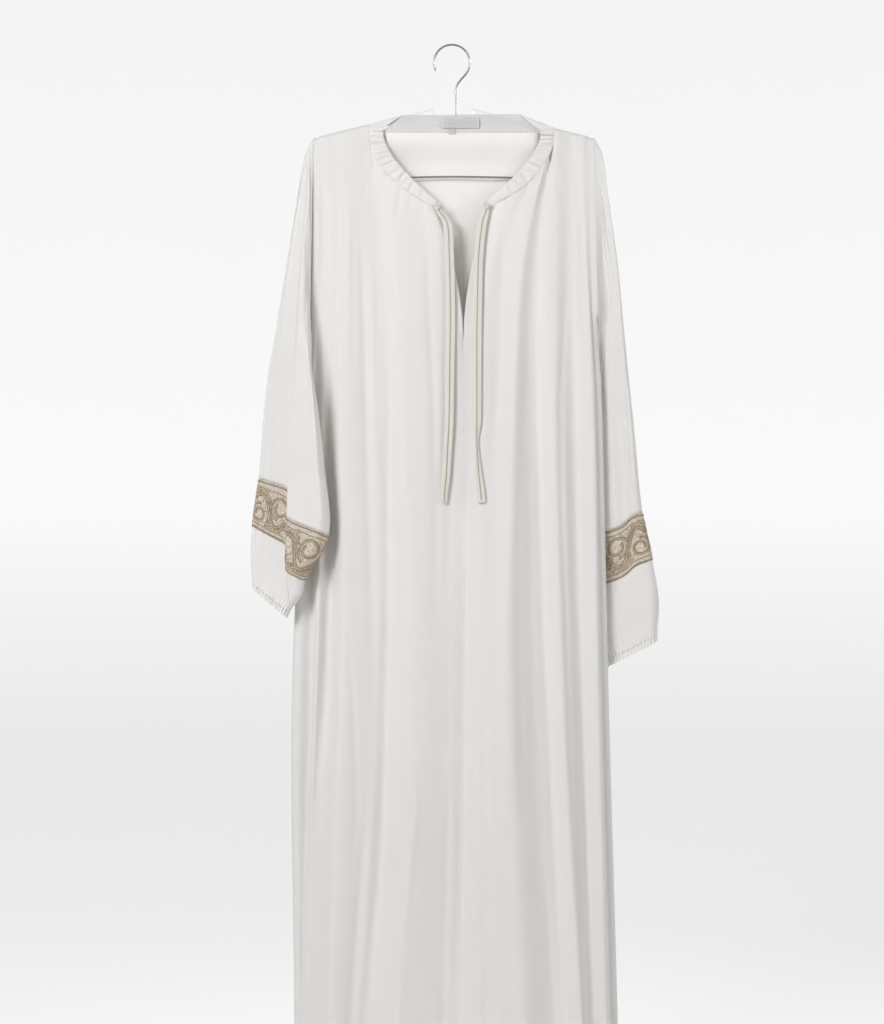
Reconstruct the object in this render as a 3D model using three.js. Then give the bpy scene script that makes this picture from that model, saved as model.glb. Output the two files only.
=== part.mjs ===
// A long white abaya hanging on a wire hanger, in millimetres, +Z up, its front facing -Y.
// The origin is the point inside the top of the hook that rests on whatever holds the hanger.
// Each sewn piece is its own solid, a thin wall whose outer face is worked out from the tables below.
import * as THREE from "three";

// ---------- Driving dimensions ----------
const WALL = 1.5; // cloth, as a wall
const BAND_WALL = 2; // embroidered trim on its backing
const SEAM_GAP = 0.3; // between two pieces that are sewn together
const HEM_Z = -1525; // foot of the garment
const UNDERARM_Z = -386; // foot of each armhole
const SLIT_END_Z = -420; // foot of the opening below the neck
const FOLD_RADIUS = 9; // how tightly the cloth turns over the shoulder and round each side
const WIRE_RADIUS = 1.4;

// The shoulder seam falls evenly from the neck to each armhole.
const SHOULDER = { neckX: 126, neckZ: -112, fall: 0.25 };
const BODY_CENTRE_X = 3;

// Neck, measured from its own centre line: the seam to the body, and the free inner edge of the band.
const NECK_CENTRE_X = 14;
const NECK_SEAM = [
  { x: 132, z: -119 },
  { x: 129, z: -140 },
  { x: 114, z: -172 },
  { x: 84, z: -203 },
  { x: 40, z: -229 },
];
const NECK_EDGE = [
  { x: 112, z: -114 },
  { x: 110, z: -135 },
  { x: 97, z: -161 },
  { x: 72, z: -189 },
  { x: 36, z: -222 },
];
const SHOULDER_DROP = 2; // from the shoulder line to the top of the front neckband
const FAN = 1.8; // above 1, columns that fan out from the neck turn upright sooner
const BACK_NECK_Z = -124; // seam of the standing band at the back of the neck
const BACK_NECK_EASE = 14; // width over which it comes down from the shoulder
// The back of the neck is caught in front of the hanger's arms: how far forward its outer face
// comes there, how far from the neck's centre, and the heights between which it goes back.
const CAUGHT = { y: -3.6, reach: 105, ease: 14, topZ: -128, footZ: -172 };

// ---------- Folds ----------
// Levels at which the fold tables give sizes: chest, waist, thigh, shin and hem.
const LEVELS = { chest: -160, waist: -500, thigh: -930, shin: -1355, hem: HEM_Z };
const LEVEL_Z = Object.values(LEVELS);

// Armhole seams are straight; the side seams below them have an x at each level.
const SIDE_LEVEL_Z = [UNDERARM_Z, ...LEVEL_Z.slice(1)];
const SIDES = {
  left: { shoulder: -196, underarm: -200, waist: -208, thigh: -227, shin: -224, hem: -223 },
  right: { shoulder: 202, underarm: 207, waist: 213, thigh: 223, shin: 235, hem: 238 },
};

// One row for each crest or trough of the front: x at each level, then how far it stands
// forward of the shoulder seam at each level.
const FRONT_FOLDS = [
  { name: "left tuck", x: [-184, -194, -201, -214, -213], out: [9, 7, 3, 9, 9] },
  { name: "left crest", x: [-176, -181, -192, -208, -207], out: [10, 18, 28, 16, 14] },
  { name: "left dip", x: [-168, -172, -183, -199, -199], out: [10, 16, 22, 20, 18] },
  { name: "left ridge", x: [-152, -154, -155, -168, -172], out: [12, 25, 40, 46, 48] },
  { name: "left trough", x: [-104, -101, -94, -121, -128], out: [8, 14, 24, 29, 30] },
  { name: "breast ridge", x: [-71, -62, -52, -75, -80], out: [14, 32, 50, 56, 60] },
  { name: "centre trough", x: [17, 16, 14, 6, 3], out: [12, 22, 34, 38, 40] },
  { name: "centre ridge", x: [46, 44, 42, 42, 42], out: [14, 30, 51, 57, 60] },
  { name: "neck trough", x: [70, 63, 57, 66, 68], out: [10, 26, 54, 62, 65] },
  { name: "neck ridge", x: [97, 86, 76, 95, 100], out: [15, 35, 58, 67, 71] },
  { name: "long trough", x: [118, 118, 131, 153, 162], out: [6, 14, 26, 34, 36] },
  { name: "long ridge", x: [146, 145, 156, 179, 187], out: [13, 28, 42, 50, 54] },
  { name: "right trough", x: [168, 170, 182, 195, 200], out: [7, 12, 18, 24, 26] },
  { name: "right ridge", x: [186, 200, 207, 217, 221], out: [11, 19, 27, 32, 34] },
];

// The back hangs in fewer, softer folds: how far each stands behind the shoulder seam.
const BACK_FOLDS = [
  { name: "left ease", x: [-172, -178, -196, -196, -196], out: [9, 10, 14, 16, 17] },
  { name: "left ridge", x: [-138, -142, -150, -158, -162], out: [10, 20, 34, 42, 46] },
  { name: "left trough", x: [-98, -100, -104, -110, -113], out: [8, 14, 21, 25, 27] },
  { name: "middle ridge", x: [-50, -52, -56, -60, -62], out: [12, 26, 42, 50, 54] },
  { name: "centre trough", x: [2, 0, -4, -6, -6], out: [10, 18, 29, 36, 38] },
  { name: "right ridge", x: [56, 56, 60, 64, 66], out: [12, 27, 44, 52, 56] },
  { name: "right trough", x: [100, 98, 100, 106, 110], out: [8, 14, 22, 28, 30] },
  { name: "far ridge", x: [140, 136, 140, 152, 156], out: [10, 19, 31, 38, 42] },
  { name: "right ease", x: [172, 184, 186, 196, 200], out: [9, 8, 9, 14, 16] },
];

// ---------- Sleeves ----------
// One row for each station down the sleeve: its outer and inner edge, how far each stands
// behind the hanger (minus is in front), and the half thickness of the flattened tube.
const SLEEVES = {
  right: [
    { name: "armhole", ox: 202, oz: -130.75, ix: 207, iz: -386, oy: 0, iy: 0, half: 9 },
    { name: "cap", ox: 213, oz: -152, ix: 212, iz: -401, oy: 0, iy: 7, half: 9 },
    { name: "upper arm", ox: 222, oz: -212, ix: 211, iz: -424, oy: 1, iy: 19, half: 10 },
    { name: "under arm", ox: 236, oz: -308, ix: 204, iz: -464, oy: 4, iy: 29, half: 10 },
    { name: "elbow", ox: 246, oz: -410, ix: 192, iz: -522, oy: 7, iy: 33, half: 10 },
    { name: "forearm", ox: 259, oz: -535, ix: 176, iz: -612, oy: 9, iy: 35, half: 10.5 },
    { name: "band top", ox: 272, oz: -664, ix: 164, iz: -708, oy: 10, iy: 36, half: 11 },
    { name: "band foot", ox: 286, oz: -731, ix: 171, iz: -783, oy: 10, iy: 38, half: 12 },
    { name: "puff", ox: 295, oz: -789, ix: 186, iz: -838, oy: 10, iy: 37, half: 14 },
    { name: "elastic", ox: 292, oz: -838, ix: 211, iz: -880, oy: 12, iy: 31, half: 10 },
    { name: "frill", ox: 292, oz: -846, ix: 213, iz: -888, oy: 12, iy: 30, half: 11.5 },
  ],
  left: [
    { name: "armhole", ox: -196, oz: -130.75, ix: -200, iz: -386, oy: 0, iy: 0, half: 9 },
    { name: "cap", ox: -208, oz: -155, ix: -206, iz: -401, oy: 0, iy: -8, half: 9 },
    { name: "upper arm", ox: -219, oz: -212, ix: -204, iz: -424, oy: -1, iy: -22, half: 9 },
    { name: "under arm", ox: -232, oz: -295, ix: -197, iz: -460, oy: -3, iy: -37, half: 10 },
    { name: "elbow", ox: -246, oz: -385, ix: -188, iz: -516, oy: -6, iy: -46, half: 10 },
    { name: "forearm", ox: -263, oz: -495, ix: -179, iz: -596, oy: -8, iy: -50, half: 10 },
    { name: "band top", ox: -273, oz: -617, ix: -173, iz: -694, oy: -10, iy: -52, half: 10 },
    { name: "band foot", ox: -282, oz: -684, ix: -206, iz: -757, oy: -10, iy: -46, half: 11 },
    { name: "puff", ox: -284, oz: -724, ix: -213, iz: -789, oy: -10, iy: -40, half: 13 },
    { name: "elastic", ox: -281, oz: -764, ix: -225, iz: -809, oy: -12, iy: -34, half: 10 },
    { name: "frill", ox: -280, oz: -771, ix: -227, iz: -816, oy: -12, iy: -33, half: 11.5 },
  ],
};
// The long crease down the front of each sleeve: where it runs, how wide it is, how far the
// cloth on the body's side of it stands out, and how deep its trough is.
const SLEEVE_CREASES = {
  right: { z: [-261, -375, -503, -645, -760], x: [217, 223, 234, 247, 255], width: 13, step: 0, dip: 4.5 },
  left: { z: [-261, -375, -503, -645, -787], x: [-217, -224, -229, -234, -237], width: 8, step: 8, dip: 0 },
};
// Heights over which a crease fades in above its first place and out above its last one, and
// the distance from the sleeve's edge over which it fades.
const CREASE_FADE = { above: 60, top: 90, foot: 60, edge: 12 };
const CUFF_GATHERS = 22; // round each cuff
const GATHER_DEPTH = 1.9;
const GATHER_GROWTH = 1.4; // above 1, the gathers deepen mostly near the elastic
const FRILL_DEPTH = 2.3;

// ---------- Trims ----------
const NECK_GATHERS = 11; // along each half of the front band
const NECK_GATHER_DEPTH = 1.8;
// Across the band, 0 at its free edge: where it has points, the share over which a gather puffs
// up, how much lower it is by the seam, and how far the cloth between two gathers sinks.
const NECK_PUFF = { places: [0, 0.35, 0.75, 1], rise: 0.4, lower: 0.3, sink: 0.4 };
// Shares of the band's length over which the gathers start and stop.
const NECK_FADE = { top: 0.12, foot: 0.08 };
const NECK_LIFT = 1; // the band's free edge stands forward of its seam
const NECK_LIFT_SHARE = 0.1; // of the band's length, over which it does so
const NECK_SEAM_GAP = 1; // along the slanted line from the seam to the free edge
const TIE = { width: 13, thick: 2.2, length: 418, fromZ: -231, crown: 0.4 };
const TIE_KNOT = { width: 0.6, share: 0.05 }; // drawn in at the top, as shares of width and length
const TIE_TWIST = 0.5; // how far a turned tie's edge leaves the plane of the front
// Each tie hangs down the front: x down its length, from the knot at the end of the neckband.
const TIE_ROUTES = {
  left: { x: [-22, -8, -2, -3, -6, -11], turn: [0.2, 0.1, 0, 0, 0.1, 0.3] },
  right: { x: [50, 36, 32, 34, 35, 41], turn: [-0.2, -0.1, 0, 0, 0.2, 0.5] },
};
const TIE_CLEAR = 5; // from the front of the garment to the middle of a tie
const BACK_BAND = { topZ: -98.5, thick: 1.6, slopeFrom: 84, slopeTo: 109, lean: 0.3, endHeight: 1.2 };
// Blank sewn labels on the back band: middle, size and top edge.
const LABELS = [
  { name: "neck_label", x: 12, width: 54, height: 14, topZ: -104 },
  { name: "size_label", x: 0, width: 11, height: 6, topZ: -118.4 },
];
const LABEL_THICK = 0.5;

// ---------- Hanger ----------
const HOOK = { radius: 25.5, tipAngle: 205, neckAngle: -35, stemX: 6.5, stemTopZ: -58, footZ: -99 };
const YOKE = { z: -102.5, rise: 1.2 }; // bare wire between the two covers
// Top edge of each arm's padded cover, and its height and half thickness from the stem out.
const COVER = {
  right: { innerX: 28, tipX: 193 },
  left: { innerX: -25, tipX: -187 },
  innerZ: -89,
  tipZ: -132,
  sections: [
    { share: 0, height: 17, half: 1.6 },
    { share: 0.02, height: 18, half: 2.6 },
    { share: 0.2, height: 13, half: 2.8 },
    { share: 0.42, height: 6.5, half: 2.5 },
    { share: 0.98, height: 5.5, half: 2.4 },
    { share: 1, height: 4.5, half: 1.6 },
  ],
};
const BAR_Z = -186;
const BAR_END = { share: 0.97, below: 7.5 }; // where it meets a cover, and how far below its top
// The bend at each end of the bar: distance in from the end, and height above the bar.
const BAR_BEND = [
  { in: 0, up: 34 },
  { in: 7, up: 5 },
  { in: 22, up: 0 },
];

// ---------- Cells ----------
// Along each length, or round it: enough for its bends and no more.
const CELLS = {
  front: 10,
  back: 7,
  sleeve: 11,
  sleeveAcross: 8,
  band: 2,
  sleeveEnd: 3,
  cuff: 1,
  turn: 3,
  backBand: 20,
  tie: 20,
  hookArc: 14,
  hook: 40,
  yoke: 8,
  bar: 30,
  wireSides: 6,
  coverSides: 12,
};
const COLUMN_WIDTH = 17; // widest cell between two fold lines, at thigh height
const COLUMN_SPLITS = 3; // most cells between two fold lines
const COLUMN_CLEAR = 0.12; // of the way between two fold lines, kept free beside a seam's column
// Depths below the shoulder tip of the upper rows, with three where the armhole closes.
const UPPER_ROWS = [0, 2.5, 6, 13, 34, 75, 130, 204, 245, 251.5, 255.25];

// ---------- Small helpers ----------
const mix = THREE.MathUtils.lerp;
const clamp01 = (t) => THREE.MathUtils.clamp(t, 0, 1);
const wave = (t) => 0.5 - 0.5 * Math.cos(Math.PI * clamp01(t));
const vec = (x, y, z) => new THREE.Vector3(x, y, z);
const steps = (count, from = 0, to = 1) =>
  Array.from({ length: count + 1 }, (_, i) => mix(from, to, i / count));

// A smooth value between table entries: places fall, values follow, both ends level off.
function tableAt(places, values, place) {
  if (place >= places[0]) return values[0];
  const last = places.length - 1;
  if (place <= places[last]) return values[last];
  let k = 0;
  while (place < places[k + 1]) k += 1;
  const slope = (i) =>
    i <= 0 || i >= last ? 0 : (values[i + 1] - values[i - 1]) / (places[i + 1] - places[i - 1]);
  const span = places[k + 1] - places[k];
  const t = (place - places[k]) / span;
  const t2 = t * t;
  const t3 = t2 * t;
  return (
    (2 * t3 - 3 * t2 + 1) * values[k] +
    (t3 - 2 * t2 + t) * span * slope(k) +
    (3 * t2 - 2 * t3) * values[k + 1] +
    (t3 - t2) * span * slope(k + 1)
  );
}

// A quarter-round: 0 at an edge, 1 once the distance from it passes the radius.
const roundOver = (distance, radius = FOLD_RADIUS) =>
  Math.sqrt(Math.max(0, 1 - (1 - clamp01(distance / radius)) ** 2));

// ---------- The hanging body ----------
const shoulderZ = (x) =>
  SHOULDER.neckZ - SHOULDER.fall * (Math.abs(x - BODY_CENTRE_X) - SHOULDER.neckX + BODY_CENTRE_X);
const tipZ = (side) => shoulderZ(SIDES[side].shoulder);

function sideX(side, z) {
  const { shoulder, ...below } = SIDES[side];
  if (z < UNDERARM_Z) return tableAt(SIDE_LEVEL_Z, Object.values(below), z);
  return mix(below.underarm, shoulder, (z - UNDERARM_Z) / (tipZ(side) - UNDERARM_Z));
}

// How open the armhole is at a height: 0 at the shoulder and below the underarm, 1 between.
const armholeOpen = (side, z) => roundOver(tipZ(side) - z) * roundOver(z - UNDERARM_Z);

// Crests and troughs across one panel at a height, from the left side turn to the right one.
function foldsAt(rows, z) {
  const inner = rows.map((row) => ({
    x: tableAt(LEVEL_Z, row.x, z),
    out: tableAt(LEVEL_Z, row.out, z),
  }));
  const turn = (side, sign) => ({ x: sideX(side, z) + sign * FOLD_RADIUS, out: FOLD_RADIUS });
  return [turn("left", 1), ...inner, turn("right", -1)];
}

// A place across a panel, counted in fold lines: 2.5 is half way from the second to the third.
function foldPlace(rows, share, z) {
  const folds = foldsAt(rows, z);
  const k = Math.min(Math.floor(share), folds.length - 2);
  const t = share - k;
  return {
    x: mix(folds[k].x, folds[k + 1].x, t),
    out: mix(folds[k].out, folds[k + 1].out, wave(t)),
  };
}

// ---------- Walls from grids ----------
// Outward unit normals of a grid of points; beyond(i, j) may give a point past an edge.
function normalsOf(grid, outward, wrap = false, beyond = () => null) {
  const count = grid.length;
  const at = (i, j, self) => {
    const column = grid[wrap ? (i + count) % count : i];
    return (column && column[j]) || beyond(i, j) || self;
  };
  return grid.map((column, i) =>
    column.map((p, j) => {
      const du = at(i + 1, j, p).clone().sub(at(i - 1, j, p));
      const dv = at(i, j + 1, p).clone().sub(at(i, j - 1, p));
      return du.cross(dv).setLength(outward);
    }),
  );
}

// A closed wall under a grid of outer points, over the cells that exist.
function wallGeometry(outer, normals, thick, wrap = false, has = () => true) {
  const inner = outer.map((column, i) =>
    column.map((p, j) => p.clone().addScaledVector(normals[i][j], -thick)),
  );
  const count = outer.length;
  const rows = outer[0].length - 1;
  const inGrid = (i, j) =>
    (wrap || (i >= 0 && i < count - 1)) && j >= 0 && j < rows && has(i, j);
  const points = [];
  const quad = (a, b, c, d) => points.push(a, b, c, a, c, d);
  for (let i = 0; i < (wrap ? count : count - 1); i += 1) {
    for (let j = 0; j < rows; j += 1) {
      if (!has(i, j)) continue;
      const next = (i + 1) % count;
      const corners = [[i, j], [next, j], [next, j + 1], [i, j + 1]];
      const o = corners.map(([a, b]) => outer[a][b]);
      const n = corners.map(([a, b]) => inner[a][b]);
      quad(o[0], o[1], o[2], o[3]);
      quad(n[1], n[0], n[3], n[2]);
      const besides = [[i, j - 1], [i + 1, j], [i, j + 1], [i - 1, j]];
      besides.forEach(([a, b], edge) => {
        const to = (edge + 1) % 4;
        if (!inGrid(a, b)) quad(o[to], o[edge], n[edge], n[to]);
      });
    }
  }
  if (signedVolume(points) < 0) points.reverse();
  return new THREE.BufferGeometry().setFromPoints(points);
}

function signedVolume(points) {
  let six = 0;
  for (let i = 0; i < points.length; i += 3)
    six += points[i].dot(points[i + 1].clone().cross(points[i + 2]));
  return six / 6;
}

// ---------- Front and back panels ----------
const TURN_ANGLES = steps(CELLS.turn, 0, Math.PI / 2); // round each side
const lineIndex = (rows, name) => rows.findIndex((row) => row.name === name) + 1;

// Shares of a column's length at which a panel has rows, closest near the shoulder and underarm.
function rowShares(lowerRows) {
  const length = tipZ("right") - HEM_Z;
  const upper = UPPER_ROWS.map((depth) => depth / length);
  return [...upper, ...steps(lowerRows, upper.at(-1), 1).slice(1)];
}

// A point on one side of the neck, along 0 at the shoulder and 1 at the slit. The neck is a
// little off the hanger's centre, so its top is moved to the shoulder line on each side.
function neckPoint(table, side, along) {
  const sign = side === "left" ? -1 : 1;
  const p = new THREE.CatmullRomCurve3(table.map((row) => vec(row.x, 0, row.z))).getPoint(along);
  const top = table[0];
  const lift = shoulderZ(NECK_CENTRE_X + sign * top.x) - SHOULDER_DROP - top.z;
  return vec(NECK_CENTRE_X + sign * p.x, 0, p.z + lift * (1 - along) ** 2);
}

// Shares across a panel, counted in fold lines: every line, and columns between wide ones. Some
// extra columns take the place of those beside them; none lies in the gap of the slit.
function foldShares(rows, extra = [], gap = null) {
  const folds = foldsAt(rows, LEVELS.thigh);
  const shares = folds.slice(1).flatMap((fold, k) => {
    const cells = Math.min(COLUMN_SPLITS, Math.ceil((fold.x - folds[k].x) / COLUMN_WIDTH));
    return steps(cells, k, k + 1).slice(1);
  });
  const taken = gap === null ? extra : [...extra, gap];
  const free = (share) => taken.every((place) => Math.abs(share - place) >= COLUMN_CLEAR);
  return [0, ...shares].filter(free).concat(extra).sort((a, b) => a - b);
}

// Where the front's neck corners and slit edges lie, in fold lines.
const SLIT_LINE = lineIndex(FRONT_FOLDS, "centre trough");
const NECK_LINES = {
  left: { corner: lineIndex(FRONT_FOLDS, "left ridge") + 0.7, slit: SLIT_LINE - 0.05 },
  right: { corner: lineIndex(FRONT_FOLDS, "long ridge"), slit: SLIT_LINE + 0.1 },
};
const FRONT_SHARES = foldShares(
  FRONT_FOLDS,
  Object.values(NECK_LINES).flatMap(Object.values),
  SLIT_LINE,
);

// The front's neck seam on one side, from the shoulder to the slit, at the panel's own columns.
function neckSeam(side) {
  const { corner, slit } = NECK_LINES[side];
  return FRONT_SHARES.map((share) => ({ share, along: (share - corner) / (slit - corner) }))
    .filter(({ along }) => along >= 0 && along <= 1)
    .map((place) => ({ ...place, at: neckPoint(NECK_SEAM, side, place.along) }))
    .sort((a, b) => a.along - b.along);
}

function frontColumns() {
  const neck = [...neckSeam("left"), ...neckSeam("right")];
  return FRONT_SHARES.map((share) => {
    const seam = neck.find((place) => place.share === share);
    if (seam) return { share, topX: seam.at.x, topZ: seam.at.z, fans: true };
    const { x } = foldPlace(FRONT_FOLDS, share, LEVELS.chest);
    return { share, topX: x, topZ: shoulderZ(x) };
  });
}

function backColumns() {
  return foldShares(BACK_FOLDS).map((share) => {
    const { x } = foldPlace(BACK_FOLDS, share, LEVELS.chest);
    const inside = NECK_SEAM[0].x - Math.abs(x - NECK_CENTRE_X);
    const cut = wave(inside / BACK_NECK_EASE);
    return { share, topX: x, topZ: mix(shoulderZ(x), BACK_NECK_Z, cut) };
  });
}

// How far the back of the neck is caught forward at a place: 1 fully, 0 not at all.
const caughtAt = (x, z) =>
  wave((CAUGHT.reach + CAUGHT.ease - Math.abs(x - NECK_CENTRE_X)) / CAUGHT.ease) *
  wave((z - CAUGHT.footZ) / (CAUGHT.topZ - CAUGHT.footZ));

// One point of a panel. A column that fans out from the neck straightens by the slit's foot.
function panelPoint(rows, sign, column, z) {
  const { x, out } = foldPlace(rows, column.share, z);
  const fan = clamp01((z - SLIT_END_Z) / (column.topZ - SLIT_END_Z)) ** FAN;
  const at = column.fans ? mix(x, column.topX, fan) : x;
  const y = sign * Math.max(SEAM_GAP / 2, out * roundOver(shoulderZ(at) - z));
  return vec(at, sign > 0 ? mix(y, CAUGHT.y, caughtAt(at, z)) : y, z);
}

// The quarter turns at a side, which open flat at the armhole to meet the sleeve.
function sideTurns(side, sign, shares) {
  const inward = side === "left" ? 1 : -1;
  return TURN_ANGLES.slice(0, -1).map((angle) =>
    shares.map((share) => {
      const z = mix(tipZ(side), HEM_Z, share);
      const across = FOLD_RADIUS * (1 - Math.cos(angle)) + (z > UNDERARM_Z ? SEAM_GAP / 2 : 0);
      const round = mix(Math.sin(angle), 1, armholeOpen(side, z)) * roundOver(tipZ(side) - z);
      const y = Math.max(SEAM_GAP / 2, FOLD_RADIUS * round);
      return vec(sideX(side, z) + inward * across, sign * y, z);
    }),
  );
}

// The outer points of a panel, column by column from its left side to its right.
function panelGrid(rows, sign, columns, shares) {
  const middle = columns.map((column) =>
    shares.map((share) => panelPoint(rows, sign, column, mix(column.topZ, HEM_Z, share))),
  );
  const turns = (side) => sideTurns(side, sign, shares);
  return [...turns("left"), ...middle, ...turns("right").reverse()];
}

function panelWall(outer, sign, columns, slitShare = null) {
  const last = outer.length - 1;
  const firstColumn = TURN_ANGLES.length - 1;
  // Past a side seam or a shoulder seam the cloth goes on as its own mirror image.
  const beyond = (i, j) => {
    if (j < 0 && Math.abs(outer[i][0].y) < 1) return outer[i][1].clone().setY(-outer[i][1].y);
    if (j < 0 || j > outer[0].length - 1) return null;
    const within = outer[i < 0 ? 1 : last - 1][j];
    return within.z < UNDERARM_Z ? within.clone().setY(-within.y) : null;
  };
  const normals = normalsOf(outer, sign, false, beyond);
  // Rims at the armholes and the neck are square to the panel.
  [0, last].forEach((i) =>
    normals[i].forEach((n, j) => outer[i][j].z > UNDERARM_Z && n.setX(0).normalize()),
  );
  columns.forEach((column, k) => column.fans && normals[firstColumn + k][0].set(0, sign, 0));
  const slitCell = firstColumn + columns.findIndex((column) => column.share === slitShare);
  const inSlit = (i, j) => slitShare !== null && i === slitCell && outer[i][j + 1].z > SLIT_END_Z;
  return wallGeometry(outer, normals, WALL, false, (i, j) => !inSlit(i, j));
}

// How far forward or back a panel's outer face lies behind the point (x, z).
function faceY(grid, x, z) {
  for (let i = 0; i < grid.length - 1; i += 1) {
    for (let j = 0; j < grid[i].length - 1; j += 1) {
      const t = (grid[i][j].z - z) / (grid[i][j].z - grid[i][j + 1].z);
      if (t < 0 || t > 1) continue;
      const a = grid[i][j].clone().lerp(grid[i][j + 1], t);
      const b = grid[i + 1][j].clone().lerp(grid[i + 1][j + 1], t);
      if (x >= a.x && x <= b.x) return mix(a.y, b.y, (x - a.x) / (b.x - a.x));
    }
  }
  throw new Error(`no cloth behind x ${x}, z ${z}`);
}

const FRONT_COLUMNS = frontColumns();
const FRONT_GRID = panelGrid(FRONT_FOLDS, -1, FRONT_COLUMNS, rowShares(CELLS.front));
const BACK_COLUMNS = backColumns();
const BACK_GRID = panelGrid(BACK_FOLDS, 1, BACK_COLUMNS, rowShares(CELLS.back));

// ---------- Sleeves ----------
const END_ANGLES = steps(CELLS.turn, 0, Math.PI / 2); // round each edge of a flattened sleeve

// A sleeve's edges and half thickness as smooth functions of the station number.
function sleeveAt(side, station) {
  const rows = SLEEVES[side];
  const last = rows.length - 1;
  const k = Math.min(Math.floor(station), last - 1);
  const on = (points) => new THREE.CatmullRomCurve3(points).getPoint(station / last);
  return {
    outer: on(rows.map(({ ox, oy, oz }) => vec(ox, oy, oz))),
    inner: on(rows.map(({ ix, iy, iz }) => vec(ix, iy, iz))),
    half: mix(rows[k].half, rows[k + 1].half, station - k),
  };
}
const SMALL_STEP = 0.01; // of a station, to measure how far apart stations are
const stationOf = (side, name) => SLEEVES[side].findIndex((row) => row.name === name);

// How far the front of a sleeve stands out beside its long crease, at a place on it.
function creaseOut(side, x, z, fromEdge) {
  const crease = SLEEVE_CREASES[side];
  const bodyward = (tableAt(crease.z, crease.x, z) - x) * (side === "left" ? -1 : 1);
  const step = crease.step * wave(bodyward / crease.width + 0.5);
  const dip = crease.dip * wave(1 - Math.abs(bodyward) / crease.width);
  const begun = wave((crease.z[0] + CREASE_FADE.above - z) / CREASE_FADE.top);
  const left = wave((z - crease.z.at(-1)) / CREASE_FADE.foot);
  return begun * left * wave(fromEdge / CREASE_FADE.edge) * (step - dip);
}

// Distances across one face of a flattened sleeve: round its two edges, and some between.
function plainPlaces(chord, half) {
  const end = END_ANGLES.map((angle) => half * (1 - Math.cos(angle)));
  const between = steps(CELLS.sleeveAcross, half, chord - half).slice(1, -1);
  return [...end, ...between, ...end.map((distance) => chord - distance).reverse()];
}

// The same, but evenly spaced round the edges too, for gathers that are all alike.
function evenPlaces(chord, half, count) {
  const quarter = (Math.PI / 2) * half;
  const length = 2 * quarter + chord - 2 * half;
  return steps(count, 0, length).map((p) => {
    if (p < quarter) return half * (1 - Math.cos(p / half));
    if (p > length - quarter) return chord - half * (1 - Math.cos((length - p) / half));
    return half + p - quarter;
  });
}

// One ring round a sleeve: the front from its outer to its inner edge, then the back again.
function sleeveRing(side, station, { proud = 0, gathers = 0, depth = 0 }) {
  const { outer, inner, half } = sleeveAt(side, station);
  const across = inner.clone().sub(outer);
  const chord = across.length();
  across.normalize();
  const out = vec(0, 1, 0).addScaledVector(across, -across.y).normalize();
  const places = gathers ? evenPlaces(chord, half, gathers) : plainPlaces(chord, half);
  const front = places.map((distance) => ({ distance, sign: -1 }));
  const back = places.slice(1, -1).reverse().map((distance) => ({ distance, sign: 1 }));
  const points = [...front, ...back].map(({ distance, sign }, i) => {
    const fromEdge = Math.min(distance, chord - distance);
    const facing = roundOver(fromEdge, half);
    const ripple = depth * (i % 2 ? -1 : 1);
    const sideways = (proud + ripple) * Math.sqrt(1 - facing ** 2);
    const reach = distance + (distance < chord / 2 ? -sideways : sideways);
    const p = outer.clone().addScaledVector(across, reach);
    const crease = sign < 0 ? creaseOut(side, p.x, p.z, fromEdge) : 0;
    return p.addScaledVector(out, sign * ((half + proud + ripple) * facing + crease));
  });
  return { points, axis: across.cross(out) };
}

// One sewn length of sleeve between two stations, as a tube wall.
function sleevePiece(side, from, to, rings, { wall = WALL, grows = false, ...shape } = {}) {
  // A station that lies half a seam's gap to one side of a named one.
  const seam = (name, step) => {
    const station = stationOf(side, name);
    const a = sleeveAt(side, station);
    const b = sleeveAt(side, station + step);
    const moved = Math.min(a.outer.distanceTo(b.outer), a.inner.distanceTo(b.inner));
    return station + (step * SEAM_GAP) / 2 / moved;
  };
  const end = to === "frill" ? stationOf(side, to) : seam(to, -SMALL_STEP);
  const sections = steps(rings, seam(from, SMALL_STEP), end).map((station, k) => {
    const depth = (shape.depth || 0) * (grows ? (k / rings) ** GATHER_GROWTH : 1);
    return sleeveRing(side, station, { ...shape, depth });
  });
  const outer = sections[0].points.map((_, i) => sections.map(({ points }) => points[i]));
  const normals = normalsOf(outer, side === "left" ? -1 : 1, true);
  // Rims lie in the plane of their ring, so that two sewn lengths never cross.
  [0, rings].forEach((k) =>
    normals.forEach((column) => column[k].projectOnPlane(sections[k].axis).normalize()),
  );
  return wallGeometry(outer, normals, wall, true);
}

// ---------- Neck ----------
// A point on the front's neck seam, between the panel's own points.
function onNeckSeam(side, along) {
  const places = neckSeam(side);
  const k = Math.max(1, places.findIndex((place) => place.along >= along));
  const [a, b] = [places[k - 1], places[k]].map(({ share, along: start }) => {
    const column = FRONT_COLUMNS.findIndex((one) => one.share === share);
    return { start, point: FRONT_GRID[TURN_ANGLES.length - 1 + column][0] };
  });
  return a.point.clone().lerp(b.point, (along - a.start) / (b.start - a.start));
}

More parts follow.
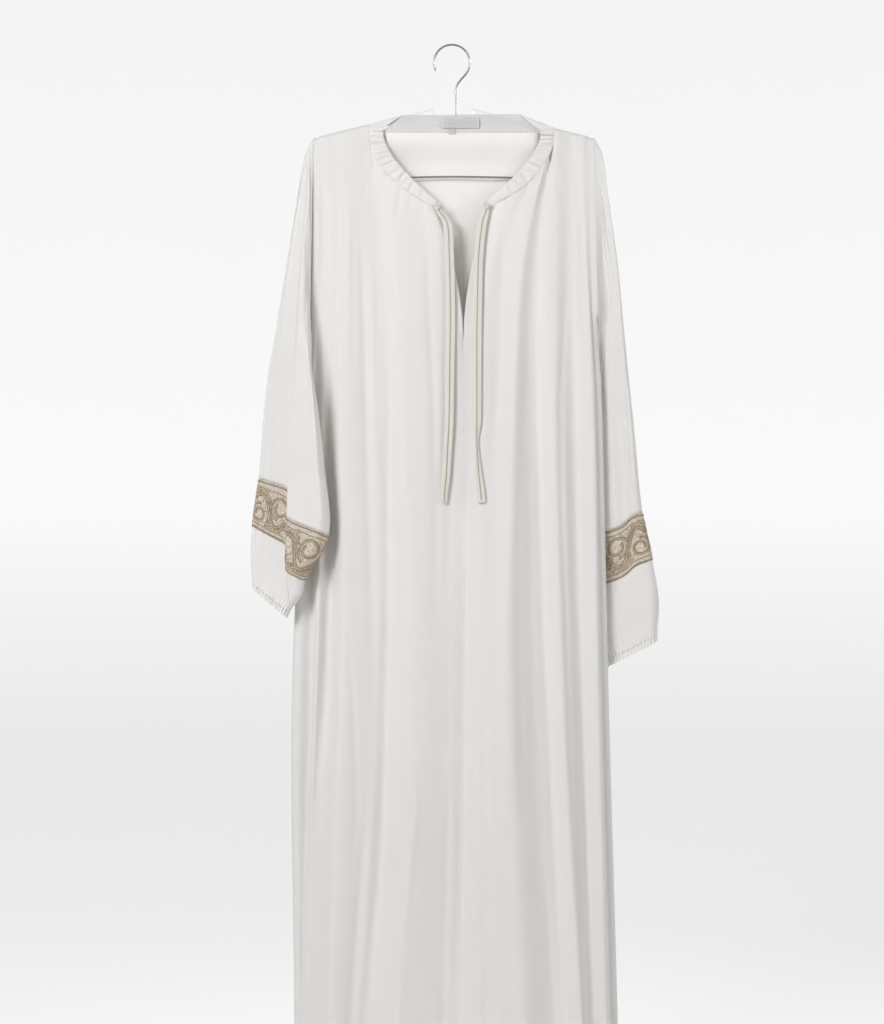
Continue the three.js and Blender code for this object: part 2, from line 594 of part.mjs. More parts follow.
// Half of the front neckband, gathered along its length, from the shoulder to the slit.
function frontNeckband(side) {
  const columns = steps(NECK_GATHERS * 2).map((along, i) => {
    const seam = onNeckSeam(side, along);
    const lift = NECK_LIFT * wave(along / NECK_LIFT_SHARE);
    const edge = neckPoint(NECK_EDGE, side, along).setY(seam.y - lift);
    const reach = 1 - NECK_SEAM_GAP / seam.distanceTo(edge);
    const fade = clamp01(along / NECK_FADE.top) * clamp01((1 - along) / NECK_FADE.foot);
    const depth = NECK_GATHER_DEPTH * fade * (i % 2 ? 1 : -NECK_PUFF.sink);
    return NECK_PUFF.places.map((across) => {
      const puff = depth * wave(across / NECK_PUFF.rise) * (1 - NECK_PUFF.lower * across);
      const p = edge.clone().lerp(seam, across * reach);
      return p.setY(p.y - puff);
    });
  });
  const normals = normalsOf(columns, side === "left" ? -1 : 1);
  // The rim at the seam is square to the band, like the panel's.
  normals.forEach((column) => column.at(-1).set(0, -1, 0));
  return wallGeometry(columns, normals, WALL);
}

// The band that stands up at the back of the neck, in front of the hanger's arms. Its ends
// slope down to the seam, and the arms come out over them.
function backNeckband() {
  const { slopeFrom, slopeTo, topZ, lean, thick, endHeight } = BACK_BAND;
  const seamZ = BACK_NECK_Z + SEAM_GAP;
  const columns = steps(CELLS.backBand, -slopeTo, slopeTo).map((fromCentre) => {
    const drop = clamp01((Math.abs(fromCentre) - slopeFrom) / (slopeTo - slopeFrom));
    const top = mix(topZ, seamZ + endHeight, drop);
    const x = NECK_CENTRE_X + fromCentre;
    return steps(2).map((up) => vec(x, CAUGHT.y - lean * up, mix(seamZ, top, up)));
  });
  return wallGeometry(columns, normalsOf(columns, -1), thick);
}

// A blank label on the band's inner face, which faces the front.
function sewnLabel({ x, width, height, topZ }) {
  const y = CAUGHT.y - BACK_BAND.lean - BACK_BAND.thick - SEAM_GAP - LABEL_THICK / 2;
  const label = new THREE.BoxGeometry(width, LABEL_THICK, height);
  return label.translate(x, y, topZ - height / 2);
}

// A flat tie of doubled cloth that hangs from the end of the neckband, clear of the front.
function neckTie(side) {
  const route = TIE_ROUTES[side];
  const stations = steps(route.x.length - 1, 0, -TIE.length);
  const columns = [-1, 0, 1].map((across) =>
    steps(CELLS.tie).map((t) => {
      const down = -TIE.length * t;
      const z = TIE.fromZ + down;
      const middle = tableAt(stations, route.x, down);
      const turn = tableAt(stations, route.turn, down);
      const half = (TIE.width / 2) * mix(TIE_KNOT.width, 1, wave(t / TIE_KNOT.share));
      const behind = [-1, -0.5, 0, 0.5, 1].map((b) => faceY(FRONT_GRID, middle + b * half, z));
      const y = Math.min(...behind) - TIE_CLEAR + across * half * Math.sin(turn) * TIE_TWIST;
      return vec(middle + across * half * Math.cos(turn), y - TIE.crown * (1 - across * across), z);
    }),
  );
  return wallGeometry(columns, normalsOf(columns, -1), TIE.thick);
}

// ---------- Hanger ----------
// A round wire along a smooth line.
function wire(points, count) {
  const section = new THREE.Shape(
    steps(CELLS.wireSides, 0, 2 * Math.PI)
      .slice(1)
      .map((a) => new THREE.Vector2(Math.cos(a), Math.sin(a)).multiplyScalar(WIRE_RADIUS)),
  );
  const path = new THREE.CatmullRomCurve3(points, false, "centripetal");
  return new THREE.ExtrudeGeometry(section, { steps: count, extrudePath: path, bevelEnabled: false });
}

function hangerHook() {
  const middle = vec(0, 0, WIRE_RADIUS - HOOK.radius);
  const arc = steps(CELLS.hookArc, HOOK.tipAngle, HOOK.neckAngle).map((degrees) => {
    const a = THREE.MathUtils.degToRad(degrees);
    return vec(Math.cos(a), 0, Math.sin(a)).multiplyScalar(HOOK.radius).add(middle);
  });
  const stem = steps(2, HOOK.stemTopZ, HOOK.footZ).map((z) => vec(HOOK.stemX, 0, z));
  return wire([...arc, ...stem], CELLS.hook);
}

// The bare wire under the stem, which runs into the two covers.
function hangerYoke() {
  const ends = ["left", "right"].map((side) => COVER[side].innerX);
  const [from, to] = [ends[0] + SEAM_GAP, ends[1] - SEAM_GAP];
  const points = steps(4, from, to).map((x, i) => vec(x, 0, YOKE.z + (i === 2 ? YOKE.rise : 0)));
  return wire(points, CELLS.yoke);
}

// A point on the top edge of an arm's cover, share 0 near the stem and 1 at its tip.
function coverTop(side, share) {
  const { innerX, tipX } = COVER[side];
  return vec(mix(innerX, tipX, share), 0, mix(COVER.innerZ, COVER.tipZ, share));
}

// A padded cover over one arm: a flat oval bar, tallest near the stem.
function armCover(side) {
  const rings = COVER.sections.map(({ share, height, half }) => {
    const middle = coverTop(side, share).add(vec(0, 0, -height / 2));
    return steps(CELLS.coverSides, 0, 2 * Math.PI)
      .slice(1)
      .map((a) => middle.clone().add(vec(0, half * Math.cos(a), (height / 2) * Math.sin(a))));
  });
  return loft(rings);
}

// A solid through rings of points, closed flat at both ends.
function loft(rings) {
  const points = [];
  const count = rings[0].length;
  rings.slice(1).forEach((ring, k) =>
    ring.forEach((p, i) => {
      const next = (i + 1) % count;
      points.push(rings[k][i], p, ring[next], rings[k][i], ring[next], rings[k][next]);
    }),
  );
  const cap = (ring) => ring.slice(1, -1).flatMap((p, i) => [ring[0], p, ring[i + 2]]);
  points.push(...cap(rings[0]), ...cap(rings.at(-1)).reverse());
  if (signedVolume(points) < 0) points.reverse();
  return new THREE.BufferGeometry().setFromPoints(points);
}

// The bare lower bar, turned up at each end to meet the covers.
function hangerBar() {
  const end = (side) => {
    const tip = coverTop(side, BAR_END.share);
    const inward = side === "left" ? 1 : -1;
    const bend = BAR_BEND.map((place) => vec(tip.x + inward * place.in, 0, BAR_Z + place.up));
    return [tip.add(vec(0, 0, -BAR_END.below)), ...bend];
  };
  const middle = vec(BODY_CENTRE_X, 0, BAR_Z);
  return wire([...end("left"), middle, ...end("right").reverse()], CELLS.bar);
}

// ---------- Materials and assembly ----------
const finish = (color, roughness, metalness = 0) =>
  new THREE.MeshStandardMaterial({ color, roughness, metalness, side: THREE.DoubleSide });
const crepe = finish(0xefede6, 0.75);
const embroidery = finish(0xc9b48c, 0.6);
const tape = finish(0xe6e0d2, 0.5);
const steel = finish(0x8d8f92, 0.3, 1);
const cover = finish(0xf4f4f2, 0.45);

const abaya = new THREE.Group();
const add = (name, geometry, material) => {
  const mesh = new THREE.Mesh(geometry, material);
  mesh.name = name;
  abaya.add(mesh);
};

add("front_panel", panelWall(FRONT_GRID, -1, FRONT_COLUMNS, NECK_LINES.left.slit), crepe);
add("back_panel", panelWall(BACK_GRID, 1, BACK_COLUMNS), crepe);

for (const side of ["left", "right"]) {
  const gathered = { gathers: CUFF_GATHERS, depth: GATHER_DEPTH, grows: true };
  const frilled = { gathers: CUFF_GATHERS, depth: FRILL_DEPTH };
  const banded = { wall: BAND_WALL, proud: BAND_WALL - WALL };
  const sleeve = (from, to, cells, shape) => sleevePiece(side, from, to, cells, shape);
  add(`sleeve_${side}`, sleeve("armhole", "band top", CELLS.sleeve), crepe);
  add(`sleeve_band_${side}`, sleeve("band top", "band foot", CELLS.band, banded), embroidery);
  add(`sleeve_end_${side}`, sleeve("band foot", "elastic", CELLS.sleeveEnd, gathered), crepe);
  add(`cuff_${side}`, sleeve("elastic", "frill", CELLS.cuff, frilled), crepe);
  add(`neckband_front_${side}`, frontNeckband(side), crepe);
  add(`tie_${side}`, neckTie(side), tape);
}

add("neckband_back", backNeckband(), crepe);
LABELS.forEach((label) => add(label.name, sewnLabel(label), tape));
add("hanger_hook", hangerHook(), steel);
add("hanger_yoke", hangerYoke(), steel);
add("hanger_bar", hangerBar(), steel);
["left", "right"].forEach((side) => add(`hanger_cover_${side}`, armCover(side), cover));

export default abaya;
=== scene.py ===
"""A long ivory abaya on a wire hanger: cloth, trims, embroidery, hanger and stage.

All sizes below are in millimetres, +Z up, with the front facing -Y and the origin inside the
top of the hanger's hook. Meshes are made in metres on the fixed frame's nodes.
"""
import math

import bpy
import numpy as np
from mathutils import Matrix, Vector


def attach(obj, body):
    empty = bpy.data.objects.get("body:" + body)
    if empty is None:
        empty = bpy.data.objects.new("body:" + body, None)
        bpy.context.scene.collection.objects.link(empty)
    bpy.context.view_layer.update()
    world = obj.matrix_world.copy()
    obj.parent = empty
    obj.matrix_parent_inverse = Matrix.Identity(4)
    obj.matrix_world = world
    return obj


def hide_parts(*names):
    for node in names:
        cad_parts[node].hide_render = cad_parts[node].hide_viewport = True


bl_info = {
    "name": "Hanging Abaya",
    "version": (1, 0, 0),
    "blender": (4, 5, 0),
    "location": "3D View > Sidebar > Abaya",
    "description": "Makes the cloth, trims, embroidery and hanger of an abaya, and a stage for it",
    "category": "Object",
}

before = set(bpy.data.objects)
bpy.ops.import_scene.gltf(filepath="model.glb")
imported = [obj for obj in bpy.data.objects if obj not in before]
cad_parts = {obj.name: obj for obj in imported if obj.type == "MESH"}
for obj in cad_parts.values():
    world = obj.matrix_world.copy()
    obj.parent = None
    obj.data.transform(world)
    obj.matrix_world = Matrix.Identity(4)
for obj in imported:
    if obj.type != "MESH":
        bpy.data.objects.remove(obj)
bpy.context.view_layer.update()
BODY = "root"
MM = 0.001

# ---------- Sizes shared with the frame ----------
SEAM_GAP = 0.3
HEM_Z = -1525
HEM = {"depth": 24, "rise": 0.6}
UNDERARM_Z = -386
SLIT_END_Z = -420
FOLD_RADIUS = 9
SHOULDER = {"neck_x": 126, "neck_z": -112, "fall": 0.25}
BODY_CENTRE_X = 3
NECK_CENTRE_X = 14
NECK_SEAM = ((132, -119), (129, -140), (114, -172), (84, -203), (40, -229))
NECK_EDGE = ((112, -114), (110, -135), (97, -161), (72, -189), (36, -222))
SHOULDER_DROP = 2
FAN = 2.4
BACK_NECK_Z = -124
BACK_NECK_EASE = 14
CAUGHT = {"y": -3.6, "reach": 105, "ease": 14, "top_z": -128, "foot_z": -172}

LEVEL_Z = (-160, -500, -930, -1355, HEM_Z)
SIDE_LEVEL_Z = (UNDERARM_Z, -500, -930, -1355, HEM_Z)
SIDES = {
    "left": {"shoulder": -196, "below": (-200, -208, -227, -224, -223)},
    "right": {"shoulder": 202, "below": (207, 213, 223, 235, 238)},
}
# Each fold line of the front: its name, x at each level, how far forward it stands there.
FRONT_FOLDS = (
    ("left tuck", (-184, -194, -201, -214, -213), (9, 7, 3, 9, 9)),
    ("left crest", (-176, -181, -192, -208, -207), (10, 18, 28, 16, 14)),
    ("left dip", (-168, -172, -183, -199, -199), (10, 16, 22, 20, 18)),
    ("left ridge", (-152, -154, -155, -168, -172), (12, 25, 40, 46, 48)),
    ("left trough", (-104, -101, -94, -121, -128), (8, 14, 24, 29, 30)),
    ("breast ridge", (-71, -62, -52, -75, -80), (14, 32, 50, 56, 60)),
    ("centre trough", (17, 16, 14, 6, 3), (12, 22, 34, 38, 40)),
    ("centre ridge", (46, 44, 42, 42, 42), (14, 30, 51, 57, 60)),
    ("neck trough", (70, 63, 57, 66, 68), (10, 26, 54, 62, 65)),
    ("neck ridge", (97, 86, 76, 95, 100), (15, 35, 58, 67, 71)),
    ("long trough", (118, 118, 131, 153, 162), (6, 14, 26, 34, 36)),
    ("long ridge", (146, 145, 156, 179, 187), (13, 28, 42, 50, 54)),
    ("right trough", (168, 170, 182, 195, 200), (7, 12, 18, 24, 26)),
    ("right ridge", (186, 200, 207, 217, 221), (11, 19, 27, 32, 34)),
)
BACK_FOLDS = (
    ("left ease", (-172, -178, -196, -196, -196), (9, 10, 14, 16, 17)),
    ("left ridge", (-138, -142, -150, -158, -162), (10, 20, 34, 42, 46)),
    ("left trough", (-98, -100, -104, -110, -113), (8, 14, 21, 25, 27)),
    ("middle ridge", (-50, -52, -56, -60, -62), (12, 26, 42, 50, 54)),
    ("centre trough", (2, 0, -4, -6, -6), (10, 18, 29, 36, 38)),
    ("right ridge", (56, 56, 60, 64, 66), (12, 27, 44, 52, 56)),
    ("right trough", (100, 98, 100, 106, 110), (8, 14, 22, 28, 30)),
    ("far ridge", (140, 136, 140, 152, 156), (10, 19, 31, 38, 42)),
    ("right ease", (172, 184, 186, 196, 200), (9, 8, 9, 14, 16)),
)
SLIT_LINE = 7
NECK_LINES = {
    "left": {"corner": 4.7, "slit": SLIT_LINE - 0.05},
    "right": {"corner": 12, "slit": SLIT_LINE + 0.1},
}

# Each station down a sleeve: outer edge (x, y, z), inner edge (x, y, z) and half thickness.
SLEEVES = {
    "right": (
        ("armhole", (202, 0, -130.75), (207, 0, -386), 9),
        ("cap", (213, 0, -152), (208, 7, -401), 9),
        ("upper arm", (222, 1, -212), (206, 19, -424), 10),
        ("under arm", (236, 4, -308), (204, 29, -464), 10),
        ("elbow", (246, 7, -410), (192, 33, -522), 10),
        ("forearm", (259, 9, -535), (176, 35, -612), 10.5),
        ("band top", (272, 10, -664), (164, 36, -708), 11),
        ("band foot", (286, 10, -731), (171, 38, -783), 12),
        ("puff", (295, 10, -789), (186, 37, -838), 14),
        ("elastic", (292, 12, -838), (211, 31, -880), 10),
        ("frill", (292, 12, -846), (213, 30, -888), 11.5),
    ),
    "left": (
        ("armhole", (-196, 0, -130.75), (-200, 0, -386), 9),
        ("cap", (-208, 0, -155), (-202, -9, -401), 9),
        ("upper arm", (-219, -1, -212), (-198, -22, -424), 9),
        ("under arm", (-232, -3, -295), (-197, -37, -460), 10),
        ("elbow", (-246, -6, -385), (-188, -46, -516), 10),
        ("forearm", (-263, -8, -495), (-179, -50, -596), 10),
        ("band top", (-273, -10, -617), (-173, -52, -694), 10),
        ("band foot", (-282, -10, -684), (-206, -46, -757), 11),
        ("puff", (-284, -10, -724), (-212, -40, -779), 13),
        ("elastic", (-281, -12, -764), (-230, -35, -802), 10),
        ("frill", (-280, -12, -771), (-233, -34, -809), 11.5),
    ),
}
# The long crease down the front of each sleeve. over is how far a sharp pleat laps over itself,
# and step_down how far the cloth on its body side has slid down the arm at the band.
CREASES = {
    "right": {
        "z": (-261, -375, -503, -645, -760), "x": (217, 223, 234, 247, 255),
        "width": 13, "step": 0, "dip": 4.5, "over": 0, "step_down": 6, "soft": 0.09, "lean": 0,
    },
    "left": {
        "z": (-190, -261, -375, -503, -645, -787), "x": (-205, -209.5, -216, -220.5, -226, -229),
        "width": 8, "step": 8, "dip": 0, "over": 5, "step_down": 20, "soft": 0.035, "lean": 7,
    },
}
CUFF_GATHERS = 40
LONG_GATHERS = 13

# ---------- Fine creases in the body ----------
# Soft troughs (minus) and ridges: depth, half width, then (z, x) down the crease.
FRONT_CREASES = (
    (-7, 9, ((-170, -187), (-261, -184), (-361, -182), (-500, -179))),
    (-14, 12, ((-400, -181), (-574, -176), (-787, -172), (-940, -178), (-1080, -186))),
    (-4, 6, ((-270, 119), (-361, 120), (-500, 119), (-800, 126), (-1000, 137), (-1213, 147), (-1440, 160))),
    (-5, 6, ((-260, 170), (-400, 172), (-700, 177), (-960, 184), (-1213, 191), (-1440, 198))),
    (-4.5, 7, ((-560, 16), (-700, 15), (-960, 13), (-1213, 9), (-1440, 3))),
    (-5, 7, ((-260, -94), (-500, -90), (-820, -92), (-1071, -100), (-1355, -114))),
    (-3.2, 4.5, ((-215, 172), (-261, 163), (-375, 159), (-503, 152), (-645, 153), (-787, 159),
                 (-1000, 166), (-1330, 181))),
    (2.4, 4.5, ((-360, 166), (-500, 162), (-645, 162), (-930, 170), (-1060, 174), (-1284, 185))),
    (-2.4, 5.5, ((-190, 76), (-261, 70), (-432, 68), (-540, 61), (-640, 58))),
    (1.8, 9, ((-250, 104), (-340, 96), (-470, 90), (-600, 84), (-760, 80))),
    (-2.6, 5, ((-620, 14), (-800, 17), (-1000, 14), (-1213, 9), (-1440, 4))),
    (-2.2, 5, ((-1010, -2), (-1130, -7), (-1355, -13), (-1500, -17))),
    (1.6, 4, ((-1060, 4), (-1200, 1), (-1400, -4))),
    (-2.8, 6, ((-930, -94), (-1000, -95), (-1142, -99), (-1284, -114), (-1440, -126))),
    (-2.4, 5, ((-1040, -120), (-1071, -122), (-1213, -132), (-1355, -142), (-1510, -150))),
    (2.0, 5, ((-1000, -108), (-1140, -115), (-1284, -124), (-1430, -136))),
    (2.2, 6, ((-960, -52), (-1071, -50), (-1284, -70), (-1460, -79))),
    (-2.0, 5, ((-780, -150), (-930, -139), (-1080, -134), (-1200, -141))),
    (-2.6, 4, ((-830, -183), (-929, -189), (-1000, -190), (-1142, -199), (-1284, -210), (-1400, -214))),
    (1.8, 4, ((-170, 140), (-300, 136), (-420, 134), (-560, 134))),
    (-1.8, 4, ((-150, 178), (-230, 181), (-330, 184), (-470, 190))),
    (1.5, 5, ((-430, 118), (-700, 121), (-900, 126))),
    (-1.6, 6, ((-520, 98), (-760, 92), (-980, 96), (-1180, 104))),
    (-1.5, 5, ((-760, 34), (-1010, 30), (-1300, 27))),
    (1.4, 6, ((-1040, 62), (-1250, 68), (-1480, 72))),
    (-1.9, 5, ((-1150, 130), (-1300, 139), (-1500, 149))),
    (-2.8, 5, ((-200, -132), (-300, -128), (-430, -124), (-610, -120), (-820, -112), (-1000, -108))),
    (2.2, 5, ((-240, -116), (-380, -112), (-560, -108), (-700, -104))),
    (-2.2, 5, ((-200, -40), (-330, -34), (-520, -26), (-700, -22), (-860, -24))),
    (1.8, 8, ((-220, -88), (-360, -80), (-540, -70), (-760, -60))),
    (-2.0, 4, ((-170, -160), (-280, -163), (-420, -168), (-600, -176))),
    (1.6, 4, ((-180, -146), (-320, -146), (-500, -147))),
    (-1.7, 6, ((-540, -80), (-720, -72), (-900, -70))),
    (-1.6, 5, ((-480, -6), (-640, -4), (-820, -8))),
    (1.5, 5, ((-1180, -94), (-1340, -100), (-1500, -104))),
    (-2.1, 5, ((-1240, 44), (-1370, 47), (-1520, 50))),
)
BACK_CREASES = (
    (-4, 6, ((-240, -99), (-500, -100), (-900, -104), (-1300, -111), (-1500, -113))),
    (-4, 7, ((-300, 2), (-600, -1), (-930, -4), (-1400, -6))),
    (-4.5, 6, ((-230, 100), (-520, 98), (-930, 100), (-1380, 108), (-1500, 110))),
    (-2.4, 5, ((-200, -120), (-420, -124), (-700, -130), (-930, -134))),
    (2.0, 6, ((-230, -76), (-500, -80), (-820, -84), (-1040, -90))),
    (-2.6, 5, ((-190, -30), (-400, -28), (-650, -30), (-900, -34), (-1100, -36))),
    (1.8, 5, ((-260, 24), (-520, 26), (-760, 28))),
    (-2.4, 5, ((-210, 78), (-450, 78), (-700, 82), (-1010, 88))),
    (-2.2, 4, ((-180, 160), (-360, 166), (-560, 170), (-800, 172))),
    (2.0, 5, ((-200, 122), (-480, 118), (-690, 120), (-900, 128))),
    (-2.8, 6, ((-820, -52), (-1000, -56), (-1250, -60), (-1500, -62))),
    (2.2, 5, ((-900, -140), (-1150, -148), (-1440, -154))),
    (-2.4, 5, ((-980, 40), (-1200, 46), (-1470, 50))),
    (-2.0, 6, ((-1020, 130), (-1220, 138), (-1500, 146))),
    (1.9, 5, ((-760, 10), (-1000, 8), (-1300, 6))),
    (-1.8, 5, ((-640, -176), (-900, -184), (-1200, -186))),
    (1.7, 6, ((-1100, 92), (-1300, 96), (-1510, 100))),
)
# Puckers below the front neckband: share of the band from the shoulder, length, depth.
NECK_PUCKERS = (
    (0.10, 34, 1.0), (0.20, 58, 1.6), (0.29, 40, 1.2), (0.37, 84, 2.0), (0.46, 48, 1.4),
    (0.55, 70, 1.8), (0.63, 38, 1.1), (0.71, 92, 1.9), (0.80, 46, 1.3), (0.89, 60, 1.5),
)

# ---------- Trims ----------
# Gathers of the front neckband: share along it from the shoulder, depth and half width.
BAND_GATHERS = (
    (0.05, 2.0, 2.2), (0.12, 3.2, 2.4), (0.18, 1.8, 1.8), (0.25, 4.2, 2.8), (0.32, 2.2, 1.8),
    (0.39, 4.4, 3.0), (0.46, 2.6, 1.9), (0.52, 3.9, 2.6), (0.59, 2.0, 1.8), (0.66, 3.8, 2.7),
    (0.73, 2.4, 2.0), (0.81, 2.8, 2.2), (0.89, 1.6, 1.8),
)
NECK_PUFF = 2.0
NECK_LIFT = 1
NECK_LIFT_SHARE = 0.1
NECK_LAP = 1.6
# Where the neckband turns over the shoulder: the shares of its inner edge that the turn
# replaces, and the corner of the back band that it runs up to, from the neck's centre.
NECK_TURN = {"from": 0.1, "corner": (84.5, -99.6), "crown": (90, -101), "y": -5.6, "steps": 26}
TIE = {"width": 13.5, "thick": 1.0, "length": 418, "from_z": -231, "clear": 5}
TIE_ROUTES = {
    "left": {
        "down": (0, -22, -60, -150, -222, -300, -340, -380, -418),
        "x": (-20, -7, -4, -2, -3, -4, -6, -8, -11),
        "turn": (0.2, 0.1, 0, 0, 0, 0.05, 0.15, 0.35, 0.75),
    },
    "right": {
        "down": (0, -22, -66, -130, -194, -300, -330, -370, -418),
        "x": (49, 43, 38, 36, 35, 35, 35, 37, 41),
        "turn": (-0.2, -0.1, 0, 0, 0, 0.2, 1.1, 0.7, 0.1),
    },
}
BACK_BAND = {"top_z": -98.5, "thick": 1.2, "slope_from": 84, "slope_to": 113, "lean": 0.3,
             "strip": 6.5}

# ---------- Hanger ----------
WIRE_RADIUS = 1.4
HOOK = {"radius": 25.5, "tip": 205, "neck": -35, "stem_x": 6.5, "stem_z": -58, "foot_z": -99}
YOKE = {"z": -102.5, "rise": 1.2}
COVER = {
    "right": {"inner_x": 28, "tip_x": 193},
    "left": {"inner_x": -25, "tip_x": -187},
    "inner_z": -89,
    "tip_z": -132,
    # share along the arm, height and half thickness
    "sections": (
        (0, 17, 1.6), (0.02, 18, 2.6), (0.2, 13, 2.8), (0.42, 6.5, 2.5), (0.98, 5.5, 2.4), (1, 4.5, 1.6),
    ),
}
BAR_Z = -186
BAR_END = {"share": 0.97, "below": 7.5}
BAR_BEND = ((0, 34), (7, 5), (22, 0))


# ---------- Stage ----------
# The backdrop: a flat round floor, then a quarter round up to a wall, and the painted glow that only the
# camera sees at shares of the height from the floor to level_top (in metres), darker towards the floor.
BACKDROP = {
    "floor_z": -1640, "floor_radius": 6000, "round": 3000, "wall": (3000, 6500),
    "rings": (300, 700, 1400, 3000, 5000), "segments": 96, "color": (0.4, 0.4, 0.402),
    "level_top": 2.0, "shown": ((0.0, 0.65), (0.27, 0.79), (1.0, 0.735)),
}
AIR = {"color": (0.99, 0.99, 1.0, 1), "strength": 0.27}
# Lights: place, size, share of the key's power, colour and spread in degrees.
LIGHTS = {
    "key": ((-1.5, -2.6, 0.5), 1.1, 1.0, (0.97, 0.965, 0.99), 180),
    "side": ((2.3, -1.8, 0.3), 1.6, 0.3, (0.975, 0.975, 1.0), 180),
    "back": ((2.2, 2.4, 0.7), 1.2, 0.16, (1.0, 0.985, 0.965), 70),
}
LIT_POINT = (0, 0, -0.75)
CAMERA = {"x": -0.014, "z": -0.662, "sensor": 36, "clip_end": 60}


# ---------- Numbers and curves ----------
def mix(a, b, t):
    """The value a share t of the way from a to b."""
    return a + (b - a) * t


def clamp01(t):
    """A share kept between 0 and 1."""
    return np.clip(t, 0.0, 1.0)


def wave(t):
    """A smooth rise from 0 to 1."""
    return 0.5 - 0.5 * np.cos(np.pi * clamp01(t))


def round_over(distance, radius=FOLD_RADIUS):
    """A quarter-round: 0 at an edge, 1 once past the radius."""
    return np.sqrt(np.maximum(0.0, 1 - (1 - clamp01(distance / radius)) ** 2))


def table_at(places, values, place):
    """A smooth value between table entries whose places fall."""
    places = np.asarray(places, float)
    values = np.asarray(values, float)
    slope = np.zeros(len(values))
    slope[1:-1] = (values[2:] - values[:-2]) / (places[2:] - places[:-2])
    place = np.clip(place, places[-1], places[0])
    k = np.clip(np.searchsorted(-places, -place, side="right") - 1, 0, len(places) - 2)
    span = places[k + 1] - places[k]
    t = (place - places[k]) / span
    t2, t3 = t * t, t * t * t
    return (
        (2 * t3 - 3 * t2 + 1) * values[k]
        + (t3 - 2 * t2 + t) * span * slope[k]
        + (3 * t2 - 2 * t3) * values[k + 1]
        + (t3 - t2) * span * slope[k + 1]
    )


def curve_at(points, share):
    """Points on a smooth centripetal curve through others, at shares of its point count."""
    points = np.asarray(points, float)
    padded = np.vstack([2 * points[0] - points[1], points, 2 * points[-1] - points[-2]])
    last = len(points) - 1
    place = np.clip(np.atleast_1d(np.asarray(share, float)), 0, 1) * last
    k = np.minimum(place.astype(int), last - 1)
    t = (place - k)[:, None]
    p0, p1, p2, p3 = (padded[k + i] for i in range(4))

    def knot(a, b):
        return np.maximum(np.sum((a - b) ** 2, axis=1), 1e-12)[:, None] ** 0.25

    d0, d1, d2 = knot(p0, p1), knot(p1, p2), knot(p2, p3)
    m1 = ((p1 - p0) / d0 - (p2 - p0) / (d0 + d1) + (p2 - p1) / d1) * d1
    m2 = ((p2 - p1) / d1 - (p3 - p1) / (d1 + d2) + (p3 - p2) / d2) * d1
    return p1 + m1 * t + (-3 * p1 + 3 * p2 - 2 * m1 - m2) * t**2 + (2 * p1 - 2 * p2 + m1 + m2) * t**3


def unit(vectors):
    """Vectors scaled to length 1."""
    return vectors / np.maximum(np.linalg.norm(vectors, axis=-1, keepdims=True), 1e-9)


# ---------- Meshes ----------
def mesh_object(name, verts, faces, smooth=True):
    """A mesh object from points in millimetres."""
    mesh = bpy.data.meshes.new(name)
    mesh.from_pydata((np.asarray(verts) * MM).tolist(), [], [tuple(map(int, f)) for f in faces])
    mesh.update()
    if smooth:
        mesh.polygons.foreach_set("use_smooth", [True] * len(mesh.polygons))
    obj = bpy.data.objects.new(name, mesh)
    bpy.context.scene.collection.objects.link(obj)
    return obj


def grid_faces(columns, rows, wrap=False, skip=None):
    """Quads over a grid of columns by rows, without the cells that skip names."""
    faces = []
    for i in range(columns if wrap else columns - 1):
        a, b = i * rows, ((i + 1) % columns) * rows
        for j in range(rows - 1):
            if skip is None or not skip[i, j]:
                faces.append((a + j, b + j, b + j + 1, a + j + 1))
    return faces


def facing_out(points, wrap, sign):
    """Whether a grid's faces look the way the sign says: along Y, or away from the middle."""
    du = points[1:, :-1] - points[:-1, :-1]
    dv = points[:-1, 1:] - points[:-1, :-1]
    normal = np.cross(du, dv)
    if wrap:
        away = points[:-1, :-1] - points.mean(axis=0, keepdims=True)[:, :-1]
        return np.sum(normal * away) * sign > 0
    return np.sum(normal[..., 1]) * sign > 0


def cloth_object(name, points, sign, thick, wrap=False, skip=None):
    """A thin shell of cloth whose outer face is a grid of points, columns by rows."""
    columns, rows = points.shape[:2]
    faces = grid_faces(columns, rows, wrap, skip)
    if not facing_out(points, wrap, sign):
        faces = [face[::-1] for face in faces]
    obj = mesh_object(name, points.reshape(-1, 3), faces)
    layer = obj.modifiers.new("cloth thickness", "SOLIDIFY")
    layer.thickness = thick * MM
    layer.offset = -1
    return obj


def sweep(path, radius, sides=5, normals=None, flat=1.0, closed=False):
    """Points and faces of a tube along a path, radius given once or for each point."""
    path = np.asarray(path, float)
    count = len(path)
    if closed:
        tangent = unit(np.roll(path, -1, axis=0) - np.roll(path, 1, axis=0))
    else:
        tangent = unit(np.gradient(path, axis=0))
    if normals is None:
        up = np.array([0.0, 1.0, 0.0])
        frame_n = []
        n = up - tangent[0] * np.dot(up, tangent[0])
        if np.linalg.norm(n) < 1e-3:
            n = np.array([1.0, 0.0, 0.0])
        for t in tangent:
            n = n - t * np.dot(n, t)
            n = n / np.linalg.norm(n)
            frame_n.append(n)
        normals = np.array(frame_n)
    normals = unit(normals - tangent * np.sum(normals * tangent, axis=1, keepdims=True))
    across = np.cross(tangent, normals)
    radius = np.broadcast_to(np.asarray(radius, float), (count,))[:, None]
    rings = []
    for k in range(sides):
        a = 2 * math.pi * k / sides
        rings.append(path + radius * (math.cos(a) * across + flat * math.sin(a) * normals))
    verts = np.stack(rings, axis=1).reshape(-1, 3)
    faces = []
    for i in range(count if closed else count - 1):
        a, b = i * sides, ((i + 1) % count) * sides
        for k in range(sides):
            n = (k + 1) % sides
            faces.append((a + k, a + n, b + n, b + k))
    if not closed:
        faces.append(tuple(range(sides))[::-1])
        faces.append(tuple(range((count - 1) * sides, count * sides)))
    return verts, faces


